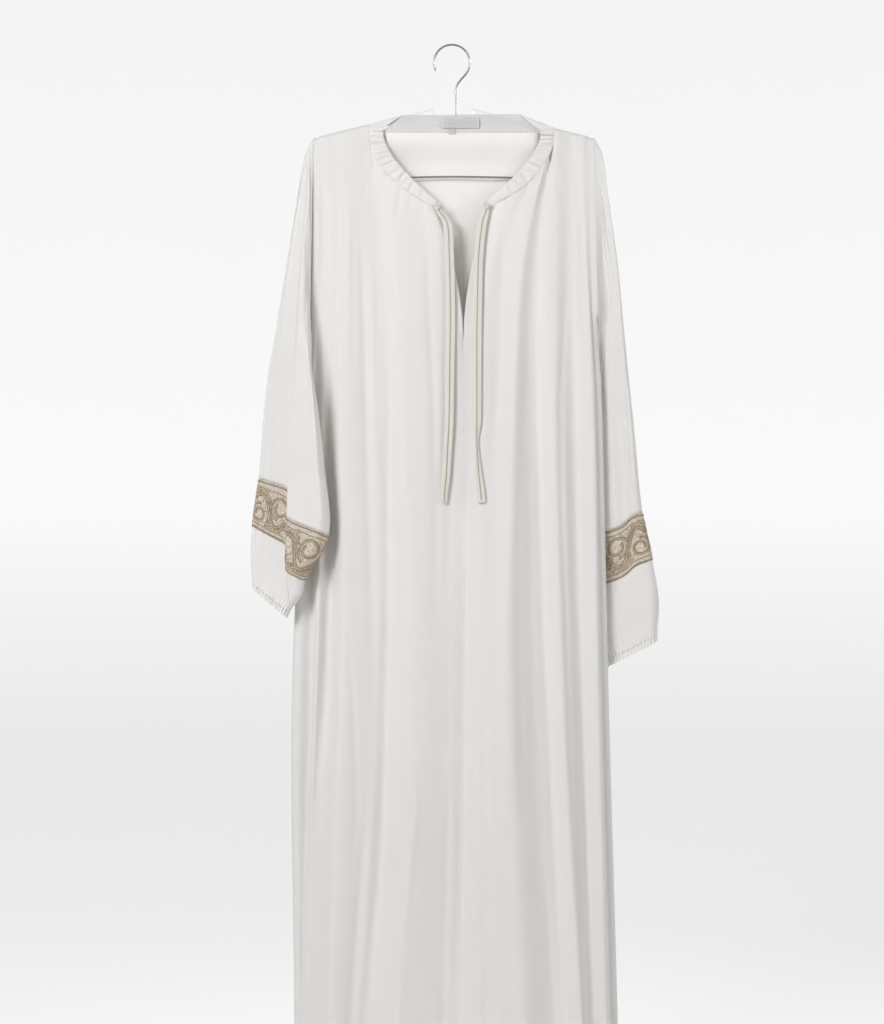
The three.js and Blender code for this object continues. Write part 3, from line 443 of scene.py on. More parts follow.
def running_stitches(row, length=2.4, gap=1.3, radius=0.24):
    """Short threads along a row of points."""
    along = np.concatenate([[0], np.cumsum(np.linalg.norm(np.diff(row, axis=0), axis=1))])
    parts = []
    for start in np.arange(gap, along[-1] - length, length + gap):
        places = start + np.array([0, 0.25, 0.75, 1]) * length
        thread_line = np.stack([np.interp(places, along, row[:, k]) for k in range(3)], axis=1)
        parts.append(sweep(thread_line, np.array([0.5, 1, 1, 0.5]) * radius, 4))
    return parts


def joined(name, parts):
    """One object from many (points, faces) pairs."""
    verts, faces, base = [], [], 0
    for points, cells in parts:
        verts.append(points)
        faces.extend(tuple(base + i for i in cell) for cell in cells)
        base += len(points)
    return mesh_object(name, np.vstack(verts), faces)


# ---------- The hanging body ----------
def shoulder_z(x):
    """Height of the shoulder line."""
    return SHOULDER["neck_z"] - SHOULDER["fall"] * (
        np.abs(x - BODY_CENTRE_X) - SHOULDER["neck_x"] + BODY_CENTRE_X
    )


def side_x(side, z):
    """The side seam's x, a straight line beside the armhole and a table below it."""
    below = table_at(SIDE_LEVEL_Z, SIDES[side]["below"], z)
    tip = shoulder_z(SIDES[side]["shoulder"])
    beside = mix(SIDES[side]["below"][0], SIDES[side]["shoulder"], (z - UNDERARM_Z) / (tip - UNDERARM_Z))
    return np.where(z < UNDERARM_Z, below, beside)


def fold_line(rows, k, z):
    """Where one fold line runs and how far it stands out, at heights z."""
    if k == 0:
        return side_x("left", z) + FOLD_RADIUS, np.full_like(z, FOLD_RADIUS)
    if k > len(rows):
        return side_x("right", z) - FOLD_RADIUS, np.full_like(z, FOLD_RADIUS)
    return table_at(LEVEL_Z, rows[k - 1][1], z), table_at(LEVEL_Z, rows[k - 1][2], z)


def fold_place(rows, share, z):
    """A place across a panel, counted in fold lines."""
    k = min(int(share), len(rows))
    (xa, oa), (xb, ob) = fold_line(rows, k, z), fold_line(rows, k + 1, z)
    t = share - k
    return mix(xa, xb, t), mix(oa, ob, wave(t))


def neck_point(table, side, along):
    """A point on one side of the neck, from 0 at the shoulder to 1 at the slit."""
    sign = -1 if side == "left" else 1
    along = np.atleast_1d(np.asarray(along, float))
    p = curve_at([(x, 0, z) for x, z in table], along)
    lift = shoulder_z(NECK_CENTRE_X + sign * table[0][0]) - SHOULDER_DROP - table[0][1]
    p[:, 2] += lift * (1 - along) ** 2
    p[:, 0] = NECK_CENTRE_X + sign * p[:, 0]
    return p


def crease_depth(creases, x, z):
    """Height that a table of soft creases adds at places (x, z)."""
    total = np.zeros_like(x)
    for depth, width, line in creases:
        zs = [z0 for z0, _ in line]
        middle = np.interp(-z, [-z0 for z0 in zs], [x0 for _, x0 in line])
        top, foot = zs[0], zs[-1]
        ease = 0.3 * (top - foot)
        fade = wave((top - z) / ease) * wave((z - foot) / ease)
        wide = width * (0.8 + 0.35 * wave((top - z) / (top - foot)))
        total += depth * fade * np.exp(-(((x - middle) / wide) ** 2))
    return total


def pucker_depth(side, x, z):
    """Height that the gathers under the front neckband add at places (x, z)."""
    total = np.zeros_like(x)
    for along, length, depth in NECK_PUCKERS:
        along = along if side == "right" else clamp01(along + 0.03)
        start = neck_point(NECK_SEAM, side, along)[0]
        middle_x = NECK_CENTRE_X + (20 if side == "right" else -20)
        lean = np.array([(start[0] - middle_x) * 0.25, 0, -length])
        way = lean / np.linalg.norm(lean)
        dx, dz = x - start[0], z - start[2]
        down = dx * way[0] + dz * way[2]
        off = dx * way[2] - dz * way[0]
        fade = wave((down + 12) / 14) * wave((length - down) / length)
        width = 2.4 + 2.6 * clamp01(down / length)
        total -= depth * fade * np.exp(-((off / width) ** 2))
    return total


def slow_ripple(x, z, phase):
    """The faint unevenness of hanging cloth."""
    return 0.45 * np.sin(x / 17 + z / 210 + phase) * np.sin(z / 83 + x / 61 + 2 * phase) + 0.3 * np.sin(
        x / 9.5 - z / 140 + 3 * phase
    ) * np.sin(z / 47 + phase)


def fine_shares(rows, cell, extra=()):
    """Shares across a panel, counted in fold lines, about a cell apart."""
    shares = [0.0]
    level = np.array([-930.0])
    for k in range(len(rows) + 1):
        width = (fold_line(rows, k + 1, level)[0] - fold_line(rows, k, level)[0]).item()
        count = max(2, math.ceil(width / cell))
        shares.extend(k + (i + 1) / count for i in range(count))
    kept = [s for s in shares if all(abs(s - e) > 0.06 for e in extra)]
    return sorted(kept + list(extra))


def row_shares(count):
    """Shares of the height, closer together near the shoulder."""
    near = np.array([0, 0.5, 1.2, 2.2, 3.5, 5, 7, 9.5, 12.5, 16, 20, 25, 30, 36, 42, 49, 56])
    length = shoulder_z(SIDES["right"]["shoulder"]) - HEM_Z
    near = near / length
    hem = 1 - (HEM["depth"] + np.array([3.5, 1.8, 0.9, 0, -0.9, -1.8, -3.5])) / length
    even = np.linspace(near[-1], 1, count + 1)[1:]
    even = even[np.abs(even - hem[3]) > 5 / length]
    return np.sort(np.concatenate([near, even, hem]))


def side_turn(side, sign, shares, count=6):
    """The quarter turns at a side, which open flat at the armhole."""
    inward = 1 if side == "left" else -1
    tip = shoulder_z(SIDES[side]["shoulder"])
    z = mix(tip, HEM_Z, shares)
    opened = round_over(tip - z) * round_over(z - UNDERARM_Z)
    columns = []
    for i in range(count):
        a = math.pi / 2 * i / count
        across = FOLD_RADIUS * (1 - math.cos(a)) + np.where(z > UNDERARM_Z, SEAM_GAP / 2, 0)
        rounded = mix(math.sin(a), 1.0, opened) * round_over(tip - z)
        y = sign * np.maximum(SEAM_GAP / 2, FOLD_RADIUS * rounded)
        columns.append(np.stack([side_x(side, z) + inward * across, y, z], axis=1))
    return columns


def panel_points(rows, sign, cell, row_count, creases, phase):
    """The outer points of the front (sign -1) or back, and the slit's cells."""
    front = sign < 0
    shares = row_shares(row_count)
    extra = [line[key] for line in NECK_LINES.values() for key in ("corner", "slit")] if front else []
    columns, slit = [], None
    places = fine_shares(rows, cell, extra)
    if front:
        left, right = NECK_LINES["left"]["slit"], NECK_LINES["right"]["slit"]
        places = [s for s in places if not left < s < right]
    for share in places:
        fans = False
        x0 = fold_place(rows, share, np.array([-160.0]))[0].item()
        top_x, top_z = x0, float(shoulder_z(x0))
        if front:
            for side, line in NECK_LINES.items():
                along = (share - line["corner"]) / (line["slit"] - line["corner"])
                if -1e-9 <= along <= 1 + 1e-9:
                    top_x, _, top_z = neck_point(NECK_SEAM, side, along)[0]
                    fans = True
        else:
            inside = NECK_SEAM[0][0] - abs(x0 - NECK_CENTRE_X)
            top_z = mix(top_z, BACK_NECK_Z, float(wave(inside / BACK_NECK_EASE)))
        z = mix(top_z, HEM_Z, shares)
        x, out = fold_place(rows, share, z)
        if fans:
            fan = clamp01((z - SLIT_END_Z) / (top_z - SLIT_END_Z)) ** FAN
            x = mix(x, top_x, fan)
        if front and abs(share - SLIT_LINE) < 0.2:
            middle = fold_place(rows, SLIT_LINE, z)[0]
            x = mix(x, middle, 0.94 * wave(1 - np.abs(z - SLIT_END_Z) / 90))
        under = shoulder_z(x) - z
        to_side = np.minimum(x - side_x("left", z), side_x("right", z) - x)
        ease = wave((under - 4) / 30) * wave((to_side - 8) / 16)
        extra_out = crease_depth(creases, x, z) + slow_ripple(x, z, phase)
        if front:
            puckers = pucker_depth("left", x, z) + pucker_depth("right", x, z)
            extra_out = extra_out + puckers
        above_hem = z - HEM_Z - HEM["depth"]
        hem = HEM["rise"] * (wave(-above_hem / 1.5) - 0.8 * np.exp(-((above_hem / 2) ** 2)))
        y = sign * np.maximum(SEAM_GAP / 2, (out + extra_out * ease + hem) * round_over(under))
        if not front:
            hold = wave((CAUGHT["reach"] + CAUGHT["ease"] - np.abs(x - NECK_CENTRE_X)) / CAUGHT["ease"])
            hold = hold * wave((z - CAUGHT["foot_z"]) / (CAUGHT["top_z"] - CAUGHT["foot_z"]))
            y = mix(y, CAUGHT["y"], hold)
        columns.append(np.stack([x, y, z], axis=1))
    grid = np.array(side_turn("left", sign, shares) + columns + side_turn("right", sign, shares)[::-1])
    skip = np.zeros((len(grid) - 1, len(shares) - 1), bool)
    if front:
        slit = 6 + places.index(NECK_LINES["left"]["slit"])
        skip[slit] = grid[slit, 1:, 2] > SLIT_END_Z
    return grid, skip


def front_depth(x, z):
    """How far forward the front's outer face lies behind places (x, z), its fine creases aside."""
    x, z = np.broadcast_arrays(np.asarray(x, float), np.asarray(z, float))
    lines = [fold_line(FRONT_FOLDS, k, z) for k in range(len(FRONT_FOLDS) + 2)]
    out = np.zeros_like(z)
    for (xa, oa), (xb, ob) in zip(lines, lines[1:]):
        t = (x - xa) / (xb - xa)
        out = np.where((t >= 0) & (t <= 1), mix(oa, ob, wave(t)), out)
    return -out


# ---------- Sleeves ----------
def station_of(side, name):
    """The number of a named station."""
    return [row[0] for row in SLEEVES[side]].index(name)


def sleeve_point(side, station, turn, proud=0.0, ripple=0.0):
    """Points on a sleeve at stations, a share turn of the way round from its outer edge."""
    rows = SLEEVES[side]
    last = len(rows) - 1
    outer_edge, inner_edge = [row[1] for row in rows], [row[2] for row in rows]
    station, turn = np.broadcast_arrays(np.asarray(station, float), np.asarray(turn, float))
    shape = station.shape
    station, turn = station.ravel(), np.mod(turn.ravel(), 1.0)
    proud = np.broadcast_to(proud, shape).ravel() + np.broadcast_to(ripple, shape).ravel()
    front = turn <= 0.5
    share = np.where(front, turn * 2, 2 - turn * 2)

    # The cloth on the body side of the crease has slid down the arm, and on the far side up.
    crease = CREASES[side]
    outer = curve_at(outer_edge, station / last)
    inner = curve_at(inner_edge, station / last)
    at = mix(outer, inner, share[:, None])
    fold_x = table_at(crease["z"], crease["x"], at[:, 2])
    fold_share = np.clip((fold_x - outer[:, 0]) / (inner[:, 0] - outer[:, 0]), 0.05, 0.95)
    ahead = share - fold_share
    ramp = np.where(ahead < 0, share / fold_share, (1 - share) / (1 - fold_share))
    step = min(0.5, last - 1 - station_of(side, "puff"))
    ahead_of = curve_at(outer_edge, (station + step) / last)
    per_station = np.linalg.norm(ahead_of - outer, axis=1) / step
    fade = wave((station - 2.5) / 3.5) * wave((last - 1 - station) / 1.4) * front
    slide = crease["step_down"] * np.tanh(ahead / crease["soft"]) * ramp * fade
    slide = slide * np.where(ahead < 0, 0.8, 1)
    station = station + slide / np.maximum(per_station, 30)
    outer = curve_at(outer_edge, station / last)
    inner = curve_at(inner_edge, station / last)
    half = np.interp(station, range(len(rows)), [r[3] for r in rows])
    across = inner - outer
    chord = np.linalg.norm(across, axis=1)
    across = across / chord[:, None]
    out = unit(np.array([0.0, 1.0, 0.0]) - across * across[:, 1:2])

    quarter = math.pi / 2 * half
    length = 2 * quarter + chord - 2 * half
    place = share * length
    distance = np.where(
        place < quarter,
        half * (1 - np.cos(place / half)),
        np.where(
            place > length - quarter,
            chord - half * (1 - np.cos((length - place) / half)),
            half + place - quarter,
        ),
    )
    from_edge = np.minimum(distance, chord - distance)
    facing = round_over(from_edge, half)
    sideways = proud * np.sqrt(np.maximum(0, 1 - facing**2)) * np.where(distance < chord / 2, -1, 1)
    p = outer + across * (distance + sideways)[:, None]
    sign = np.where(front, -1.0, 1.0)

    bodyward = (table_at(crease["z"], crease["x"], p[:, 2]) - p[:, 0]) * (-1 if side == "left" else 1)
    begun = wave((crease["z"][0] + 60 - p[:, 2]) / 90) * wave((p[:, 2] - crease["z"][-1]) / 60)
    fade = begun * wave(from_edge / 12) * front
    raised = crease["step"] * wave(bodyward / crease["width"] + 0.5)
    raised = raised - crease["dip"] * wave(1 - np.abs(bodyward) / crease["width"])
    raised = raised - crease["lean"] * np.maximum(0, 1 - share / fold_share)
    lap = crease["over"] * np.sin(np.pi * np.clip(bodyward / crease["width"], -1, 1)) * fade
    p = p - across * lap[:, None]
    p = p + out * (sign * ((half + proud) * facing + raised * fade))[:, None]
    return p.reshape(shape + (3,))


SLEEVE_CREASES = {
    # depth, half width in turns, stations from and to, turn at each end
    "right": (
        (-2.2, 0.014, 0.2, 3.2, 0.13, 0.10), (1.6, 0.014, 0.8, 4.6, 0.19, 0.17),
        (-1.8, 0.012, 2.2, 5.8, 0.26, 0.30), (1.4, 0.014, 3.4, 6.0, 0.36, 0.38),
        (-1.6, 0.011, 4.2, 6.0, 0.05, 0.06), (-2.0, 0.016, 0.3, 3.4, 0.62, 0.66),
        (1.7, 0.016, 1.4, 5.2, 0.72, 0.70), (-1.9, 0.014, 2.4, 6.0, 0.82, 0.80),
        (1.4, 0.012, 3.8, 6.0, 0.90, 0.88), (-1.5, 0.012, 0.4, 2.2, 0.40, 0.34),
        (-1.4, 0.010, 6.0, 8.2, 0.22, 0.24), (1.2, 0.012, 6.0, 8.4, 0.33, 0.31),
        (-1.3, 0.010, 6.0, 8.6, 0.68, 0.66),
    ),
    "left": (
        (-2.0, 0.014, 0.3, 3.0, 0.34, 0.36), (0.9, 0.018, 1.2, 4.8, 0.30, 0.27),
        (-0.7, 0.014, 2.6, 6.0, 0.40, 0.42), (-1.4, 0.010, 3.2, 6.0, 0.07, 0.08),
        (1.2, 0.012, 4.0, 6.0, 0.12, 0.11), (-2.1, 0.016, 0.3, 3.6, 0.60, 0.64),
        (1.7, 0.014, 1.8, 5.4, 0.70, 0.68), (-1.8, 0.014, 2.6, 6.0, 0.79, 0.78),
        (1.5, 0.012, 0.6, 2.8, 0.86, 0.89), (-1.4, 0.010, 6.0, 8.2, 0.36, 0.35),
        (-1.2, 0.010, 6.0, 8.4, 0.12, 0.14), (-1.3, 0.010, 6.0, 8.2, 0.72, 0.70),
    ),
}


def sleeve_crease_depth(side, station, turn):
    """Height that the sleeve's small creases add."""
    total = np.zeros(np.broadcast(station, turn).shape)
    for depth, width, begin, end, turn_a, turn_b in SLEEVE_CREASES[side]:
        t = (station - begin) / (end - begin)
        middle = mix(turn_a, turn_b, clamp01(t))
        fade = wave(t / 0.3) * wave((1 - t) / 0.3)
        total = total + depth * fade * np.exp(-(((turn - middle) / width) ** 2))
    return total


def gather_wave(turn, count, sharp=1.0):
    """The gathers round a cuff, a little unlike each other, from -1 in a fold to 1 on a puff."""
    shifted = turn + 0.005 * np.sin(2 * np.pi * turn * 3 + 1) + 0.003 * np.sin(2 * np.pi * turn * 7 + 2)
    size = 1 - 0.3 * (0.5 + 0.5 * np.sin(2 * np.pi * turn * 5 + 0.7))
    return (2 * np.abs(np.cos(np.pi * count * shifted)) ** sharp - 1) * size


def seam_station(side, name, step):
    """A station that lies half a seam's gap to one side of a named one."""
    rows, last = SLEEVES[side], len(SLEEVES[side]) - 1
    station = station_of(side, name)
    moved = min(
        np.linalg.norm(
            curve_at([r[key] for r in rows], (station + step) / last)
            - curve_at([r[key] for r in rows], station / last)
        )
        for key in (1, 2)
    )
    return station + step * SEAM_GAP / 2 / moved


def even_turns(count):
    """Turns round a sleeve, evenly spaced."""
    return np.arange(count) / count


# ---------- Materials ----------
def shader(name):
    """A new material, its node tree and its surface shader."""
    material = bpy.data.materials.new(name)
    material.use_nodes = True
    return material, material.node_tree, material.node_tree.nodes["Principled BSDF"]


def noise(tree, scale, detail=3.0, rough=0.55, stretch=(1, 1, 1)):
    """A noise texture in object space, stretched along an axis."""
    coords = tree.nodes.new("ShaderNodeTexCoord")
    mapping = tree.nodes.new("ShaderNodeMapping")
    mapping.inputs["Scale"].default_value = stretch
    texture = tree.nodes.new("ShaderNodeTexNoise")
    texture.inputs["Scale"].default_value = scale
    texture.inputs["Detail"].default_value = detail
    texture.inputs["Roughness"].default_value = rough
    tree.links.new(coords.outputs["Object"], mapping.inputs["Vector"])
    tree.links.new(mapping.outputs["Vector"], texture.inputs["Vector"])
    return texture


def ramp(tree, source, stops):
    """Colours along a value."""
    node = tree.nodes.new("ShaderNodeValToRGB")
    while len(node.color_ramp.elements) < len(stops):
        node.color_ramp.elements.new(0.5)
    for element, (position, color) in zip(node.color_ramp.elements, stops):
        element.position = position
        element.color = (*color, 1)
    tree.links.new(source, node.inputs["Fac"])
    return node


def bump(tree, surface, heights):
    """Bumps from (texture output, strength, distance) in a chain."""
    last = None
    for source, strength, distance in heights:
        node = tree.nodes.new("ShaderNodeBump")
        node.inputs["Strength"].default_value = strength
        node.inputs["Distance"].default_value = distance
        tree.links.new(source, node.inputs["Height"])
        if last is not None:
            tree.links.new(last.outputs["Normal"], node.inputs["Normal"])
        last = node
    tree.links.new(last.outputs["Normal"], surface.inputs["Normal"])


def fabric(name, light, dark, grain=2600.0, sheen=0.15, rough=0.82, strength=0.25, through=0.55,
           mottle=6.0):
    """Fine crepe: a pebbled grain, slubs down its length and changes of tone."""
    material, tree, surface = shader(name)
    tone = noise(tree, mottle, 4.0, 0.6, (1, 1, 0.35 if mottle < 50 else 1))
    colors = ramp(tree, tone.outputs["Fac"], ((0.3, dark), (0.7, light)))
    tree.links.new(colors.outputs["Color"], surface.inputs["Base Color"])
    surface.inputs["Roughness"].default_value = rough
    surface.inputs["Sheen Weight"].default_value = sheen
    surface.inputs["Sheen Roughness"].default_value = 0.45
    surface.inputs["Specular IOR Level"].default_value = 0.25
    surface.inputs["Subsurface Weight"].default_value = through
    surface.inputs["Subsurface Radius"].default_value = (1.0, 0.98, 0.94)
    surface.inputs["Subsurface Scale"].default_value = 0.0026
    pebble = noise(tree, grain, 2.0, 0.5, (1, 1, 0.6))
    slub = noise(tree, 420.0, 3.0, 0.5, (1, 1, 0.05))
    soft = noise(tree, 26.0, 2.0, 0.5, (1, 1, 0.4))
    bump(tree, surface, (
        (soft.outputs["Fac"], 0.10, 0.004),
        (slub.outputs["Fac"], 0.08, 0.0005),
        (pebble.outputs["Fac"], strength, 0.0003),
    ))
    return material


def thread(name, light, dark, rough=0.55, sheen=0.3):
    """Twisted embroidery thread."""
    material, tree, surface = shader(name)
    strands = noise(tree, 900.0, 3.0, 0.6)
    colors = ramp(tree, strands.outputs["Fac"], ((0.32, dark), (0.62, light)))
    tree.links.new(colors.outputs["Color"], surface.inputs["Base Color"])
    surface.inputs["Roughness"].default_value = rough
    surface.inputs["Sheen Weight"].default_value = sheen
    surface.inputs["Specular IOR Level"].default_value = 0.35
    bump(tree, surface, ((strands.outputs["Fac"], 0.6, 0.0006),))
    return material


def metal(name, color, rough):
    """Drawn steel wire with faint draw marks."""
    material, tree, surface = shader(name)
    marks = noise(tree, 300.0, 3.0, 0.6, (1, 1, 0.1))
    colors = ramp(tree, marks.outputs["Fac"], ((0.3, tuple(0.8 * c for c in color)), (0.7, color)))
    tree.links.new(colors.outputs["Color"], surface.inputs["Base Color"])
    surface.inputs["Metallic"].default_value = 1.0
    surface.inputs["Roughness"].default_value = rough
    bump(tree, surface, ((marks.outputs["Fac"], 0.08, 0.0002),))
    return material


def plastic(name, color, rough):
    """Smooth moulded cover with a faint orange peel."""
    material, tree, surface = shader(name)
    tone = noise(tree, 40.0, 3.0, 0.6)
    colors = ramp(tree, tone.outputs["Fac"], ((0.3, tuple(0.94 * c for c in color)), (0.7, color)))
    tree.links.new(colors.outputs["Color"], surface.inputs["Base Color"])
    surface.inputs["Roughness"].default_value = rough
    peel = noise(tree, 900.0, 1.0)
    bump(tree, surface, ((peel.outputs["Fac"], 0.06, 0.0003),))
    return material


def stage_material(name, color, glow):
    """A pale matt surface that also glows a little, for even studio light, and shows the camera a brighter
    painted glow graded by height.
    """
    material, tree, surface = shader(name)
    grain = noise(tree, 3.0, 2.0)
    colors = ramp(tree, grain.outputs["Fac"], ((0.3, tuple(0.985 * c for c in color)), (0.7, color)))
    tree.links.new(colors.outputs["Color"], surface.inputs["Base Color"])
    surface.inputs["Roughness"].default_value = 0.95
    surface.inputs["Emission Color"].default_value = (1, 1, 1, 1)
    coords = tree.nodes.new("ShaderNodeTexCoord")
    split = tree.nodes.new("ShaderNodeSeparateXYZ")
    tree.links.new(coords.outputs["Object"], split.inputs["Vector"])
    height = tree.nodes.new("ShaderNodeMapRange")
    height.inputs["From Min"].default_value = BACKDROP["floor_z"] * MM
    height.inputs["From Max"].default_value = BACKDROP["level_top"]
    tree.links.new(split.outputs["Z"], height.inputs["Value"])
    stops = [(share, (value,) * 3) for share, value in BACKDROP["shown"]]
    level = ramp(tree, height.outputs["Result"], stops)
    # Camera rays see the height-graded painted glow; all other rays get only the small glow that lights the
    # scene.
    path = tree.nodes.new("ShaderNodeLightPath")
    shown = tree.nodes.new("ShaderNodeMapRange")
    shown.inputs["To Min"].default_value = glow
    tree.links.new(level.outputs["Color"], shown.inputs["To Max"])
    tree.links.new(path.outputs["Is Camera Ray"], shown.inputs["Value"])
    tree.links.new(shown.outputs["Result"], surface.inputs["Emission Strength"])
    return material


MATERIALS = {}


def make_materials():
    """Every finish of the abaya and its hanger."""
    MATERIALS["crepe"] = fabric("ivory crepe", (0.82, 0.80, 0.758), (0.79, 0.77, 0.728), through=0.5)
    # The back neckband is the same crepe, painted grey: painted shade where it stands in the shade of the
    # neck.
    MATERIALS["band"] = fabric("back neckband painted shade", (0.655, 0.64, 0.635), (0.62, 0.605, 0.60))
    MATERIALS["neckband"] = fabric("neckband crepe", (0.765, 0.75, 0.72), (0.73, 0.715, 0.685))
    MATERIALS["ground"] = fabric(
        "band ground", (0.80, 0.74, 0.66), (0.45, 0.365, 0.26),
        grain=1500.0, sheen=0.2, rough=0.75, strength=0.6, through=0.3, mottle=330.0,
    )
    MATERIALS["gold"] = thread("gold thread", (0.43, 0.33, 0.205), (0.18, 0.13, 0.075))
    MATERIALS["beige"] = thread("beige thread", (0.76, 0.67, 0.55), (0.44, 0.35, 0.24))
    MATERIALS["brown"] = thread("brown thread", (0.47, 0.40, 0.30), (0.31, 0.25, 0.18))
    MATERIALS["tie"] = fabric("folded tie", (0.70, 0.68, 0.63), (0.665, 0.645, 0.595), 2200.0)
    MATERIALS["label"] = fabric(
        "woven label", (0.66, 0.64, 0.615), (0.60, 0.58, 0.555),
        grain=1800.0, sheen=0.1, rough=0.6, strength=0.3,
    )
    MATERIALS["loop"] = fabric(
        "beige label", (0.62, 0.56, 0.45), (0.55, 0.49, 0.39),
        grain=1800.0, sheen=0.1, rough=0.6, strength=0.3,
    )
    MATERIALS["sewing"] = thread("sewing thread", (0.80, 0.78, 0.73), (0.66, 0.64, 0.60))
    MATERIALS["steel"] = metal("hanger steel", (0.42, 0.42, 0.43), 0.34)
    MATERIALS["cover"] = plastic("white cover", (0.86, 0.86, 0.855), 0.42)


def finish_piece(obj, material, slot_name, *nodes):
    """Gives a piece its material and body, and hides the nodes that it stands for; slot_name is not used.
    """
    obj.data.materials.append(MATERIALS[material])
    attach(obj, BODY)
    if nodes:
        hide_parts(*nodes)
    return obj


def sheet_piece(points, wrap=False):
    """Works out the area of each cell of a cloth piece's grid, and keeps nothing."""
    grid = np.concatenate([points, points[:1]]) if wrap else points
    down, over = np.diff(grid, axis=1), np.diff(grid, axis=0)
    cells = np.linalg.norm(np.cross(down[:-1], over[:, :-1]), axis=2) / 2
    cells = cells + np.linalg.norm(np.cross(down[1:], over[:, 1:]), axis=2) / 2


# ---------- Settings ----------
class AbayaClothSettings(bpy.types.PropertyGroup):
    """Sizes of the cloth as it is modelled."""

    thickness: bpy.props.FloatProperty(
        name="Cloth thickness", description="Thickness of the crepe",
        default=0.0007, min=0.0002, max=0.002, subtype="DISTANCE", unit="LENGTH",
    )
    cell: bpy.props.FloatProperty(
        name="Cell width", description="Width of one cell across the front and back",
        default=0.0029, min=0.001, max=0.02, subtype="DISTANCE", unit="LENGTH",
    )
    rows: bpy.props.IntProperty(
        name="Rows", description="Rows down the front and back",
        default=200, min=20, max=400,
    )
    gather: bpy.props.FloatProperty(
        name="Cuff gathers", description="Depth of the gathers at the elastic",
        default=0.0017, min=0.0, max=0.005, subtype="DISTANCE", unit="LENGTH",
    )


class AbayaEmbroiderySettings(bpy.types.PropertyGroup):
    """The scroll pattern round the sleeves."""

    repeats: bpy.props.IntProperty(
        name="Repeats", description="Scrolls round each sleeve", default=4, min=2, max=8,
    )
    cord: bpy.props.FloatProperty(
        name="Cord radius", description="Radius of one embroidered cord",
        default=0.00052, min=0.0002, max=0.002, subtype="DISTANCE", unit="LENGTH",
    )
    spacing: bpy.props.FloatProperty(
        name="Cord spacing", description="From one cord of a scroll to the next",
        default=0.0011, min=0.0004, max=0.004, subtype="DISTANCE", unit="LENGTH",
    )


class AbayaStageSettings(bpy.types.PropertyGroup):
    """The camera, floor and light."""

    distance: bpy.props.FloatProperty(
        name="Camera distance", description="From the camera to the hanger's plane",
        default=3.2, min=1.0, max=10.0, subtype="DISTANCE", unit="LENGTH",
    )
    height: bpy.props.FloatProperty(
        name="View height", description="Height of the view at the hanger's plane",
        default=1.454, min=0.2, max=4.0, subtype="DISTANCE", unit="LENGTH",
    )
    glow: bpy.props.FloatProperty(
        name="Backdrop glow", description="Light given off by the backdrop",
        default=0.255, min=0.0, max=3.0,
    )
    key: bpy.props.FloatProperty(
        name="Key light", description="Power of the large light at the front",
        default=64.0, min=0.0, max=500.0, subtype="POWER", unit="POWER",
    )


# ---------- Operators ----------
class ABAYA_OT_stage(bpy.types.Operator):
    """Add the floor, the backdrop, the lights and the camera"""

    bl_idname = "abaya.stage"
    bl_label = "Stage"

    def execute(self, context):
        """Adds the backdrop, then the lights and the camera."""
        settings = context.scene.abaya_stage
        self.backdrop(settings)
        self.lights(context.scene, settings)
        self.camera(context.scene, settings)
        return {"FINISHED"}

    def backdrop(self, settings):
        """A round pale floor that curves up into a wall far from the part."""
        floor_z, radius, turn = BACKDROP["floor_z"], BACKDROP["floor_radius"], BACKDROP["round"]
        profile = [(0, floor_z)] + [(r, floor_z) for r in BACKDROP["rings"]]
        profile += [
            (radius + turn * math.sin(a), floor_z + turn * (1 - math.cos(a)))
            for a in np.linspace(0, math.pi / 2, 24)
        ]
        profile += [(radius + turn, z) for z in BACKDROP["wall"]]
        count = BACKDROP["segments"]
        points = np.array([
            [(r * math.cos(a), r * math.sin(a), z) for r, z in profile]
            for a in np.arange(count) * 2 * math.pi / count
        ])
        floor = mesh_object("studio_floor", points.reshape(-1, 3), grid_faces(count, len(profile), True))
        floor.data.materials.append(stage_material("studio paper", BACKDROP["color"], settings.glow))

    def lights(self, scene, settings):
        """Soft light from all round, and large soft lamps."""
        world = bpy.data.worlds.new("studio air")
        scene.world = world
        world.use_nodes = True
        world.node_tree.nodes["Background"].inputs["Color"].default_value = AIR["color"]
        world.node_tree.nodes["Background"].inputs["Strength"].default_value = AIR["strength"]
        for name, (place, size, share, color, spread) in LIGHTS.items():
            light = bpy.data.lights.new(name, "AREA")
            light.shape = "DISK"
            light.size = size
            light.energy = settings.key * share
            light.color = color
            light.spread = math.radians(spread)
            lamp = bpy.data.objects.new(name, light)
            scene.collection.objects.link(lamp)
            lamp.location = place
            lamp.visible_camera = False
            aim = Vector(LIT_POINT) - lamp.location
            lamp.rotation_euler = aim.to_track_quat("-Z", "Y").to_euler()

    def camera(self, scene, settings):
        """A straight front view."""
        data = bpy.data.cameras.new("front view")
        data.sensor_width = CAMERA["sensor"]
        data.lens = CAMERA["sensor"] * settings.distance / settings.height
        data.clip_end = CAMERA["clip_end"]
        camera = bpy.data.objects.new("front view", data)
        scene.collection.objects.link(camera)
        camera.location = (CAMERA["x"], -settings.distance, CAMERA["z"])
        camera.rotation_euler = (math.pi / 2, 0, 0)
        scene.camera = camera
        scene.view_settings.view_transform = "Standard"


